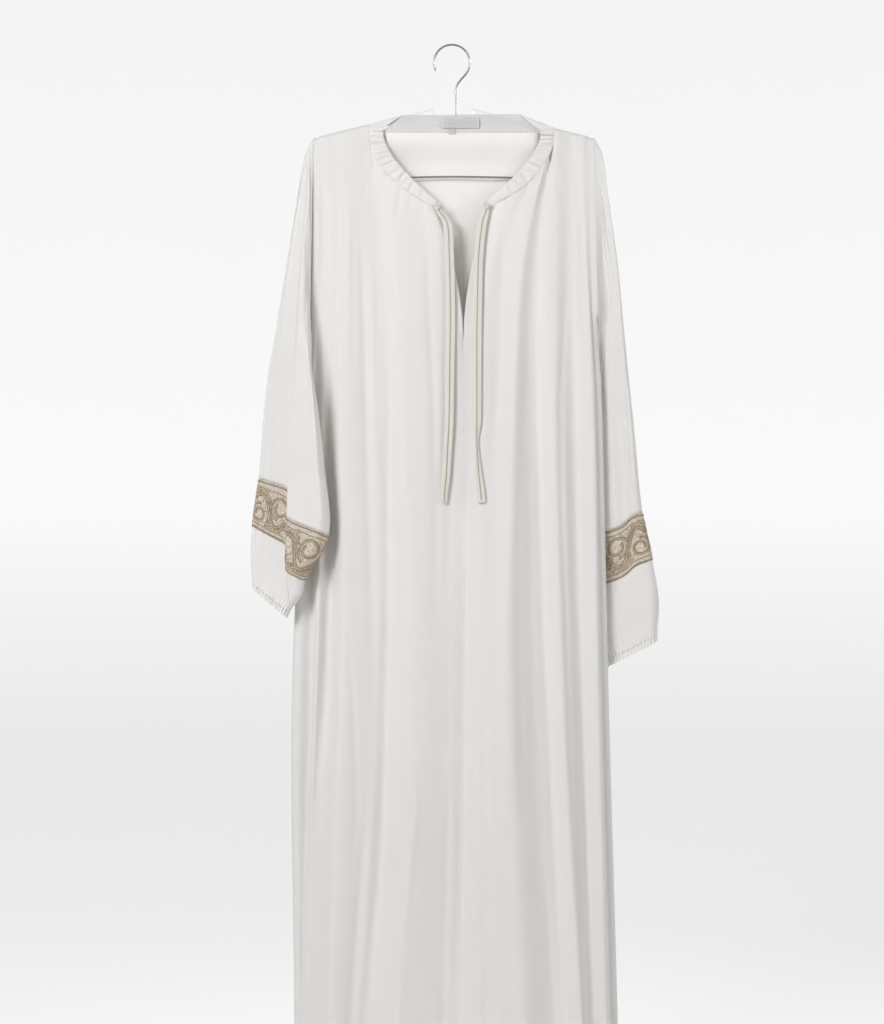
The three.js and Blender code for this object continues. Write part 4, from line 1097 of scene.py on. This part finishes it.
class ABAYA_OT_panels(bpy.types.Operator):
    """Add the front and the back of the body"""

    bl_idname = "abaya.panels"
    bl_label = "Front and back"

    def execute(self, context):
        """Adds each panel with its slit, folds and hem."""
        settings = context.scene.abaya_cloth
        for name, rows, sign, creases, phase in (
            ("front", FRONT_FOLDS, -1, FRONT_CREASES, 0.4),
            ("back", BACK_FOLDS, 1, BACK_CREASES, 1.9),
        ):
            cell = settings.cell / MM * (1 if sign < 0 else 1.4)
            count = settings.rows if sign < 0 else int(settings.rows * 0.7)
            points, skip = panel_points(rows, sign, cell, count, creases, phase)
            obj = cloth_object(f"{name}_cloth", points, sign, settings.thickness / MM, skip=skip)
            finish_piece(obj, "crepe", "crepe", f"{name}_panel")
            sheet_piece(points)
            z = points[len(points) // 2, :, 2]
            row = points[:, np.argmin(np.abs(z - HEM_Z - HEM["depth"] + 2))] + np.array([0, 0.2 * sign, 0])
            finish_piece(joined(f"{name}_hem_stitches", running_stitches(row, 3.0, 1.6)), "sewing", "crepe")
        return {"FINISHED"}


class ABAYA_OT_sleeves(bpy.types.Operator):
    """Add the sleeves, their bands, gathered ends and frills"""

    bl_idname = "abaya.sleeves"
    bl_label = "Sleeves"

    def execute(self, context):
        """Adds the four lengths of each sleeve, from the armhole down."""
        settings = context.scene.abaya_cloth
        thick, gather = settings.thickness / MM, settings.gather / MM
        for side in ("left", "right"):
            top = seam_station(side, "armhole", 0.01)
            self.tube(side, f"sleeve_cloth_{side}", f"sleeve_{side}", top,
                      seam_station(side, "band top", -0.01), 110, 168, thick)
            self.tube(side, f"band_ground_{side}", f"sleeve_band_{side}",
                      seam_station(side, "band top", 0.01), seam_station(side, "band foot", -0.01),
                      26, 168, thick, proud=0.5, material="ground", slot="embroidery")
            self.tube(side, f"sleeve_end_cloth_{side}", f"sleeve_end_{side}",
                      seam_station(side, "band foot", 0.01), seam_station(side, "elastic", -0.01),
                      46, 320, thick, gather=gather)
            self.tube(side, f"cuff_frill_{side}", f"cuff_{side}",
                      seam_station(side, "elastic", 0.01), station_of(side, "frill"),
                      10, 320, thick, gather=gather, frill=True)
        return {"FINISHED"}

    def tube(self, side, name, node, begin, end, rings, count, thick, proud=0.0, gather=0.0,
             frill=False, material="crepe", slot="crepe"):
        """One sewn length of sleeve."""
        station = np.linspace(begin, end, rings + 1)[None, :]
        turn = even_turns(count)[:, None]
        ripple = sleeve_crease_depth(side, station, turn) * (0 if gather else 1)
        edge = wave((station - begin) / 0.25) * wave((end - station) / 0.12)
        ripple = ripple * (edge if not gather else 0) + np.zeros((count, rings + 1))
        if gather and not frill:
            share = (station - begin) / (end - begin)
            long = gather_wave(turn, LONG_GATHERS) * (0.3 + 0.7 * np.sin(2 * np.pi * turn * 3 + 0.4) ** 2)
            fine = gather_wave(turn, CUFF_GATHERS, 0.8) * share**9
            ripple = ripple + gather * (0.45 * long * wave(share / 0.9) + fine)
            ripple = ripple + sleeve_crease_depth(side, station, turn) * (1 - share) * 0.8
        if frill:
            share = (station - begin) / (end - begin)
            ripple = ripple + mix(gather, gather * 1.25, share) * gather_wave(turn, CUFF_GATHERS, 0.8)
        points = sleeve_point(side, station, turn, proud, ripple)
        obj = cloth_object(name, points, 1, thick, wrap=True)
        finish_piece(obj, material, slot, node)
        if not frill:
            sheet_piece(points, wrap=True)


def scroll_lines(width, height, repeats, spacing):
    """Lines of a running scroll with volutes, leaves and rings, (along, up) in a band, and their thread."""
    lines = []
    period = width / repeats
    middle = height / 2

    def beside(line, shift):
        way = unit(np.gradient(line, axis=0))
        return line + shift * np.stack([-way[:, 1], way[:, 0]], axis=1)

    def bundle(line, shifts, kind="gold"):
        lines.extend((beside(line, shift), kind) for shift in shifts)

    def leaf(root, turn, reach, fat=0.16):
        way = np.array([math.cos(turn), math.sin(turn)])
        belly = np.array([-way[1], way[0]])
        t = np.linspace(0, 1, 18)
        for share in (-1, -0.62, -0.25, 0.12, 0.5, 0.85):
            bow = np.sin(np.pi * t**0.8) * share * fat * reach + 0.10 * reach * np.sin(np.pi * t)
            kind = "beige" if abs(share) < 0.3 else "gold"
            lines.append((root + np.outer(t * reach, way) + np.outer(bow, belly), kind))

    def ring(centre, wide, tall, count=3):
        a = np.linspace(0, 2 * np.pi, 26)
        for k in range(count):
            size = np.array([wide + k * spacing, tall + k * spacing])
            circle = centre + size * np.stack([np.cos(a), np.sin(a)], axis=1)
            lines.append((circle, "gold" if k != 1 else "beige"))

    hollows = []
    for k in range(repeats):
        start = k * period
        hollows.append((start + 0.25 * period, -0.13 * height))
        hollows.append((start + 0.75 * period, 0.13 * height))
        s = np.linspace(0, 1, 70)
        stem = np.stack([start + period * s, middle + 0.26 * height * np.sin(2 * np.pi * s)], axis=1)
        bundle(stem, (-2 * spacing, -spacing, spacing, 2 * spacing))
        bundle(stem, (0,), "beige")
        for far in range(3, 8):
            part = stem[5:31] if far % 2 else stem[8:28]
            bundle(part, (far * 1.05 * spacing,), "gold" if far % 2 else "beige")
            part = stem[40:66] if far % 2 else stem[43:63]
            bundle(part, (-far * 1.05 * spacing,), "gold" if far % 2 else "beige")
        for half, sign in ((0.25, -1), (0.75, 1)):
            centre = np.array([start + period * half, middle + sign * 0.13 * height])
            a = np.linspace(0, 2.7 * np.pi, 64)
            radius = mix(0.24 * height, 0.10 * height, (a / a[-1]) ** 0.9)
            phase = sign * (np.pi / 2) + a * sign
            volute = centre + np.stack([radius * np.cos(phase), -radius * np.sin(phase) * 0.92], axis=1)
            bundle(volute, (-spacing, spacing, 2 * spacing))
            bundle(volute, (0,), "beige")
            for step in range(7):
                at = start + period * (half - 0.24 + 0.08 * step)
                lift = 0.26 * height * math.sin(2 * np.pi * (at - start) / period)
                root = np.array([at, middle + lift - sign * 2.4 * spacing])
                reach = height * (0.10 + 0.035 * math.sin(2.2 * step) ** 2)
                leaf(root, -sign * (0.55 + 0.22 * step), reach, 0.2)
            # Larger leaves: share of the period past the volute, rise, turn and reach.
            for past, rise, turn, reach in (
                (-0.22, -0.30, 0.25, 0.20), (0.02, -0.34, -0.15, 0.17), (0.24, 0.20, 1.0, 0.15),
            ):
                root = np.array([start + period * (half + past), middle + sign * rise * height])
                leaf(root, sign * turn, reach * height)
            eye = np.array([start + period * (half + 0.25), middle + sign * 0.33 * height])
            ring(eye, 0.035 * height, 0.028 * height, 2)
    around = np.linspace(0, width, 200)
    wander = 0.35 * np.sin(around * 2 * np.pi / width * 9)
    for up, kind in ((0.016, "gold"), (0.034, "gold"), (0.115, "gold"), (0.132, "beige")):
        for edge in (up, 1 - up):
            lines.append((np.stack([around, height * edge + wander * (0.1 < up)], axis=1), kind))
    for k in range(repeats * 190):
        spot = np.array([width * ((k * 0.61803399) % 1), height * mix(0.15, 0.85, (k * 0.7548777) % 1)])
        phase = 2 * np.pi * spot[0] / period
        lean = 0.9 * math.cos(phase) + 1.2 * math.sin(k * 2.39996)
        reach = 1.5 + 0.7 * math.sin(k * 1.7)
        t = np.linspace(-reach, reach, 4)
        dash = spot + np.stack([t * math.cos(lean), t * math.sin(lean) + 0.12 * t * t], axis=1)
        hollow = min(np.linalg.norm(spot - np.array([start_x, middle + rise]))
                     for start_x, rise in hollows)
        if hollow > 0.15 * height:
            lines.append((dash, ("gold", "beige", "net")[k % 3]))
    net = 30
    for k in range(net):
        for sign in (-1, 1):
            t = np.linspace(0.14, 0.86, 16)
            along = width * k / net + sign * (t - 0.5) * height * 0.9 + 1.1 * np.sin(t * 21 + k)
            lines.append((np.stack([along, t * height], axis=1), "net"))
    for k in range(repeats * 22):
        at = width * k / (repeats * 22)
        for edge in (0.075, 0.925):
            t = np.linspace(-1, 1, 4)
            dash = np.stack([at + 1.1 * t, height * edge + 1.3 * t * (1 if k % 2 else -1)], axis=1)
            lines.append((dash, "net"))
    return lines


class ABAYA_OT_embroidery(bpy.types.Operator):
    """Add the raised scroll embroidery on the two sleeve bands"""

    bl_idname = "abaya.embroidery"
    bl_label = "Embroidery"

    def execute(self, context):
        """Lays the cords of each band, and joins them by thread."""
        settings = context.scene.abaya_embroidery
        for side in ("left", "right"):
            begin, end = station_of(side, "band top"), station_of(side, "band foot")
            turns = even_turns(120)
            ring = sleeve_point(side, np.full(120, (begin + end) / 2), turns)
            width = np.linalg.norm(np.diff(np.vstack([ring, ring[:1]]), axis=0), axis=1).sum()
            lengths = [
                np.linalg.norm(sleeve_point(side, begin, t) - sleeve_point(side, end, t)) for t in (0, 0.5)
            ]
            height = float(np.mean(lengths))
            for kind in ("gold", "beige"):
                parts = []
                for line, made_of in scroll_lines(width, height, settings.repeats, settings.spacing / MM):
                    if made_of == kind or (kind == "beige" and made_of == "net"):
                        radius = settings.cord / MM * (0.5 if made_of == "net" else 1)
                        parts.append(self.cord(side, line, width, height, begin, end, radius))
                obj = joined(f"band_{kind}_thread_{side}", parts)
                finish_piece(obj, kind, "embroidery")
        return {"FINISHED"}

    def cord(self, side, line, width, height, begin, end, radius):
        """One cord laid on the band by hand, so it wanders a little."""
        line = line + 0.28 * np.sin(line[:, ::-1] * 1.9 + 1.3 * line[:1, ::-1]) + 0.16 * np.sin(line * 4.3)
        turn = line[:, 0] / width
        station = mix(begin, end, clamp01(1 - line[:, 1] / height) * 0.985 + 0.0075)
        on = sleeve_point(side, station, turn, 0.5)
        du = sleeve_point(side, station, turn + 0.002, 0.5) - sleeve_point(side, station, turn - 0.002, 0.5)
        dv = sleeve_point(side, station + 0.01, turn, 0.5) - sleeve_point(side, station - 0.01, turn, 0.5)
        normal = unit(np.cross(du, dv))
        middle = sleeve_point(side, np.full(8, (begin + end) / 2), np.arange(8) / 8).mean(axis=0)
        if np.sum(normal * (on - middle)) < 0:
            normal = -normal
        twist = 1 + 0.16 * np.sin(np.arange(len(line)) * 2.1)
        return sweep(on + normal * radius * 0.5, radius * twist, 4, normals=normal, flat=0.9)


class ABAYA_OT_neck(bpy.types.Operator):
    """Add the neckbands, the labels and the ties"""

    bl_idname = "abaya.neck"
    bl_label = "Neck and ties"

    def execute(self, context):
        """Adds both halves in front, then the back band with its labels."""
        thick = context.scene.abaya_cloth.thickness / MM
        for side in ("left", "right"):
            self.front_band(side, thick)
            self.tie(side)
        self.back_band()
        self.label("neck_label", 12, 54, 14, -104, "label")
        self.label("size_label", 0, 10, 8, -118.4, "loop")
        return {"FINISHED"}

    def front_band(self, side, thick):
        """Half of the gathered front neckband."""
        along = np.linspace(0, 1, 190)
        across = np.linspace(0, 1, 20)
        seam = neck_point(NECK_SEAM, side, along)
        line = NECK_LINES[side]
        share = mix(line["corner"], line["slit"], along)
        depth = np.array([
            fold_place(FRONT_FOLDS, s, np.array([z]))[1].item() for s, z in zip(share, seam[:, 2])
        ])
        seam[:, 1] = -np.maximum(SEAM_GAP / 2, depth * round_over(shoulder_z(seam[:, 0]) - seam[:, 2]))
        edge = neck_point(NECK_EDGE, side, mix(NECK_TURN["from"], 1, along))
        edge[:, 1] = seam[:, 1] - NECK_LIFT * wave(along / NECK_LIFT_SHARE) - 4 * wave(1 - along / 0.12)
        reach = 1 + NECK_LAP / np.linalg.norm(seam - edge, axis=1)
        puff = np.zeros((len(along), len(across)))
        length = np.linalg.norm(np.diff(seam, axis=0), axis=1).sum()
        for k, (place, deep, wide) in enumerate(BAND_GATHERS):
            if side == "left":
                place = float(clamp01(place + 0.022 * math.sin(5.0 * k)))
            slant = (across[None, :] - 0.5) * (5.0 + 3.0 * math.sin(2.3 * k))
            off = (along[:, None] - place) * length - slant
            hold = 0.45 + 0.55 * np.sin(np.pi * clamp01(across + 0.18 * math.sin(1.7 * k)))
            puff -= deep * hold[None, :] * np.exp(-((off / wide) ** 2))
        crown = np.sin(np.pi * across) ** 0.6
        puff += NECK_PUFF * (wave(along / 0.1) * wave((1 - along) / 0.08))[:, None] * crown[None, :]
        points = mix(edge[:, None], seam[:, None], (across[None, :] * reach[:, None])[..., None])
        ends = 0.25 + 0.75 * wave(along / 0.05) * wave((1 - along) / 0.05)
        points[..., 1] -= (puff + 0.5) * ends[:, None]
        points = np.concatenate([self.shoulder_turn(side, points[0]), points])
        obj = cloth_object(f"neckband_cloth_{side}", points, -1, thick * 1.6)
        finish_piece(obj, "neckband", "crepe", f"neckband_front_{side}")
        sheet_piece(points)

    def shoulder_turn(self, side, first):
        """The neckband's upper end, which runs over the shoulder to the back band's corner."""
        turn = NECK_TURN
        sign = -1 if side == "left" else 1
        tip = np.array([NECK_CENTRE_X + sign * turn["corner"][0], turn["y"], turn["corner"][1]])
        crown = np.array([NECK_CENTRE_X + sign * turn["crown"][0], turn["y"] + 1, turn["crown"][1]])
        end = np.linspace(tip, crown, len(first))
        t = np.linspace(0, 1, turn["steps"], endpoint=False)[:, None, None]
        rows = mix(end[None], first[None], t)
        over = np.sin(np.pi * np.linspace(0, 1, len(first)))
        rows[..., 1] -= 0.9 * np.sin(np.pi * t[..., 0]) * over[None, :]
        return rows

    def back_band(self):
        """The standing band at the back of the neck."""
        b = BACK_BAND
        seam_z = BACK_NECK_Z + SEAM_GAP
        from_centre = np.linspace(-b["slope_to"], b["slope_to"], 140)
        up = np.linspace(0, 1, 18)
        drop = clamp01((np.abs(from_centre) - b["slope_from"]) / (b["slope_to"] - b["slope_from"]))
        top = mix(b["top_z"] + 0.5 * np.sin(from_centre / 40), seam_z + 1.2, drop)
        x = NECK_CENTRE_X + from_centre
        y = CAUGHT["y"] - b["lean"] * up[None, :] - 0.25 * np.sin(from_centre / 23)[:, None] * up[None, :]
        ends = wave((np.abs(from_centre) - 78) / 14)[:, None]
        pull = np.sin(from_centre[:, None] * 0.9 + up[None, :] * 2.5)
        pull = pull * ends * np.sin(np.pi * up)[None, :] * 0.5
        z = mix(seam_z, top[:, None], up[None, :])
        points = np.stack([np.broadcast_to(x[:, None], z.shape), y + pull, z], axis=2)
        foot = np.exp(-(((z - (seam_z + b["strip"])) / 0.8) ** 2)) * (from_centre[:, None] ** 2 < 92**2)
        lower = 0.5 * wave((seam_z + b["strip"] - z) / 0.8 + 0.5)
        points[..., 1] += 0.5 * foot - lower
        obj = cloth_object("back_neckband_cloth", points, -1, b["thick"])
        # Its grey material is painted shade on the same crepe.
        finish_piece(obj, "band", "crepe", "neckband_back")
        sheet_piece(points)
        row = points[10:-10, 7] + np.array([0, -0.25, 0])
        finish_piece(joined("back_neckband_stitches", running_stitches(row)), "sewing", "crepe")

    def label(self, node, x, width, height, top_z, material):
        """A blank sewn label with softly curled edges."""
        u, v = np.meshgrid(np.linspace(-1, 1, 30), np.linspace(0, 1, 10), indexing="ij")
        curl = 0.25 * (u**4 + 0.5 * (2 * v - 1) ** 4)
        y = CAUGHT["y"] - BACK_BAND["lean"] - 1.6 - 0.55 - curl
        points = np.stack([x + u * width / 2, y, top_z - v * height], axis=2)
        obj = cloth_object(f"{node}_tape", points, -1, 0.3)
        finish_piece(obj, material, "label", node)

    def tie(self, side):
        """A flat folded tie, its chain stitch, and the knot that it hangs from."""
        route = TIE_ROUTES[side]
        t = np.linspace(0, 1, 150)
        down = -TIE["length"] * t
        z = TIE["from_z"] + down
        middle = table_at(route["down"], route["x"], down)
        turn = table_at(route["down"], route["turn"], down)
        half = TIE["width"] / 2 * mix(0.55, 1, wave(t / 0.05)) * mix(1, 0.86, wave((t - 0.5) / 0.5))
        behind = np.min([front_depth(middle + b * half, z) for b in (-1, -0.5, 0, 0.5, 1)], axis=0)
        behind = np.convolve(np.pad(behind, 6, "edge"), np.ones(13) / 13, "valid")
        lie = behind - TIE["clear"]
        across = np.linspace(-1, 1, 13)[:, None]
        crown = 0.5 * (1 - np.abs(across) ** 4)
        x = middle + across * half * np.cos(turn)
        sewn_in = 0.12 * np.exp(-((across / 0.12) ** 2))
        y = lie + across * half * np.sin(turn) * 0.5 - crown + sewn_in
        y = y + 0.35 * np.sin(z / 19 + 2 * across) * np.sin(z / 47)
        points = np.stack([x, y, np.broadcast_to(z, x.shape)], axis=2)
        obj = cloth_object(f"tie_cloth_{side}", points, -1, TIE["thick"])
        finish_piece(obj, "tie", "tie", f"tie_{side}")
        sheet_piece(points)
        self.chain(side, points)
        self.knot(side, points)

    def chain(self, side, points):
        """Small chain stitches down the middle of a tie."""
        centre = points[len(points) // 2]
        length = np.concatenate([[0], np.cumsum(np.linalg.norm(np.diff(centre, axis=0), axis=1))])
        parts = []
        for at in np.arange(6, length[-1] - 4, 3.3):
            mid = np.array([np.interp(at, length, centre[:, k]) for k in range(3)])
            a = np.linspace(0, 2 * np.pi, 9)[:-1]
            link = mid + np.stack([0.65 * np.sin(a), -0.3 - 0.15 * np.cos(2 * a), 1.0 * np.cos(a)], axis=1)
            parts.append(sweep(link, 0.4, 4, closed=True, normals=np.tile([0.0, -1.0, 0.0], (8, 1))))
        obj = joined(f"tie_chain_stitch_{side}", parts)
        finish_piece(obj, "brown", "tie")

    def knot(self, side, points):
        """The small knot where a tie leaves the neckband."""
        top = points[len(points) // 2][0]
        a = np.linspace(0, 2 * np.pi, 61)[:-1]
        ring = top + np.stack([3.4 * np.cos(2 * a) + 1.6 * np.cos(a), -1.4 * np.sin(3 * a) - 1.0,
                               3.0 * np.sin(2 * a) - 1.4 * np.sin(a) + 1.5], axis=1)
        forward = np.tile([0.0, -1.0, 0.0], (len(ring), 1))
        obj = joined(f"tie_knot_{side}", [sweep(ring, 1.7, 8, closed=True, normals=forward)])
        finish_piece(obj, "tie", "tie")


class ABAYA_OT_hanger(bpy.types.Operator):
    """Add the wire hanger with its two padded covers"""

    bl_idname = "abaya.hanger"
    bl_label = "Hanger"

    def execute(self, context):
        """Adds the three lengths of wire and the covers."""
        centre_z = WIRE_RADIUS - HOOK["radius"]
        arc = [
            (HOOK["radius"] * math.cos(a), 0, HOOK["radius"] * math.sin(a) + centre_z)
            for a in np.radians(np.linspace(HOOK["tip"], HOOK["neck"], 15))
        ]
        stem = [(HOOK["stem_x"], 0, z) for z in np.linspace(HOOK["stem_z"], HOOK["foot_z"], 3)]
        self.wire("hook_wire", arc + stem, 180, "hanger_hook")
        ends = COVER["left"]["inner_x"] + SEAM_GAP, COVER["right"]["inner_x"] - SEAM_GAP
        rises = (0, 0, YOKE["rise"], 0, 0)
        yoke = [(x, 0, YOKE["z"] + rise) for x, rise in zip(np.linspace(*ends, len(rises)), rises)]
        self.wire("yoke_wire", yoke, 40, "hanger_yoke")
        left, right = self.bar_end("left"), self.bar_end("right")
        self.wire("bar_wire", left + [(BODY_CENTRE_X, 0, BAR_Z)] + right[::-1], 200, "hanger_bar")
        for side in ("left", "right"):
            self.cover(side)
        return {"FINISHED"}

    def wire(self, name, points, count, node):
        """A round wire through points."""
        path = curve_at(points, np.linspace(0, 1, count))
        obj = joined(name, [sweep(path, WIRE_RADIUS, 16)])
        finish_piece(obj, "steel", "hanger_wire", node)

    def cover_top(self, side, share):
        """A point on the top edge of an arm's cover."""
        x = mix(COVER[side]["inner_x"], COVER[side]["tip_x"], share)
        return np.array([x, 0.0, mix(COVER["inner_z"], COVER["tip_z"], share)])

    def bar_end(self, side):
        """Points from a cover down to the bar."""
        tip = self.cover_top(side, BAR_END["share"])
        inward = 1 if side == "left" else -1
        bend = [(tip[0] + inward * step, 0, BAR_Z + up) for step, up in BAR_BEND]
        return [(tip[0], 0, tip[2] - BAR_END["below"])] + bend

    def cover(self, side):
        """A padded cover over one arm."""
        spans = ((0, 0.03, 8), (0.05, 0.96, 44), (0.975, 1, 8))
        shares = np.concatenate([np.linspace(*span) for span in spans])
        places = [s for s, _, _ in COVER["sections"]]
        height = np.interp(shares, places, [h for _, h, _ in COVER["sections"]])
        half = np.interp(shares, places, [t for _, _, t in COVER["sections"]])
        a = np.linspace(0, 2 * np.pi, 29)[:-1]
        rings = []
        for share, tall, thin in zip(shares, height, half):
            middle = self.cover_top(side, share) - np.array([0, 0, tall / 2])
            rings.append(middle + np.stack([0 * a, thin * np.cos(a), tall / 2 * np.sin(a)], axis=1))
        rings = np.array(rings)
        count = len(a)
        faces = grid_faces(len(rings), count)
        for start in range(0, (len(rings) - 1) * count, count):
            following = start + count
            faces.append((start + count - 1, following + count - 1, following, start))
        faces += [tuple(range(count))[::-1], tuple(range((len(rings) - 1) * count, len(rings) * count))]
        obj = mesh_object(f"arm_cover_{side}", rings.reshape(-1, 3), faces)
        finish_piece(obj, "cover", "hanger_cover", f"hanger_cover_{side}")


class ABAYA_PT_panel(bpy.types.Panel):
    """The abaya's pieces, in the order in which they are made"""

    bl_label = "Hanging Abaya"
    bl_idname = "ABAYA_PT_panel"
    bl_space_type = "VIEW_3D"
    bl_region_type = "UI"
    bl_category = "Abaya"

    def draw(self, context):
        layout = self.layout
        for title, settings, operators in (
            ("Stage", context.scene.abaya_stage, (ABAYA_OT_stage,)),
            ("Cloth", context.scene.abaya_cloth, (ABAYA_OT_panels, ABAYA_OT_sleeves, ABAYA_OT_neck)),
            ("Embroidery", context.scene.abaya_embroidery, (ABAYA_OT_embroidery,)),
        ):
            box = layout.box()
            box.label(text=title)
            for key in settings.__annotations__:
                box.prop(settings, key)
            for operator in operators:
                box.operator(operator.bl_idname)
        layout.operator(ABAYA_OT_hanger.bl_idname)


GROUPS = (
    ("abaya_cloth", AbayaClothSettings),
    ("abaya_embroidery", AbayaEmbroiderySettings),
    ("abaya_stage", AbayaStageSettings),
)
OPERATORS = (
    ABAYA_OT_stage,
    ABAYA_OT_panels,
    ABAYA_OT_sleeves,
    ABAYA_OT_embroidery,
    ABAYA_OT_neck,
    ABAYA_OT_hanger,
)


def register():
    """Adds the settings, operators and panel to Blender."""
    for name, group in GROUPS:
        bpy.utils.register_class(group)
        setattr(bpy.types.Scene, name, bpy.props.PointerProperty(type=group))
    for operator in OPERATORS:
        bpy.utils.register_class(operator)
    bpy.utils.register_class(ABAYA_PT_panel)


def unregister():
    """Takes them away again."""
    bpy.utils.unregister_class(ABAYA_PT_panel)
    for operator in reversed(OPERATORS):
        bpy.utils.unregister_class(operator)
    for name, group in reversed(GROUPS):
        delattr(bpy.types.Scene, name)
        bpy.utils.unregister_class(group)


def main():
    """Makes every piece in order."""
    register()
    make_materials()
    for operator in OPERATORS:
        area, name = operator.bl_idname.split(".")
        getattr(getattr(bpy.ops, area), name)()


if __name__ == "__main__":
    main()
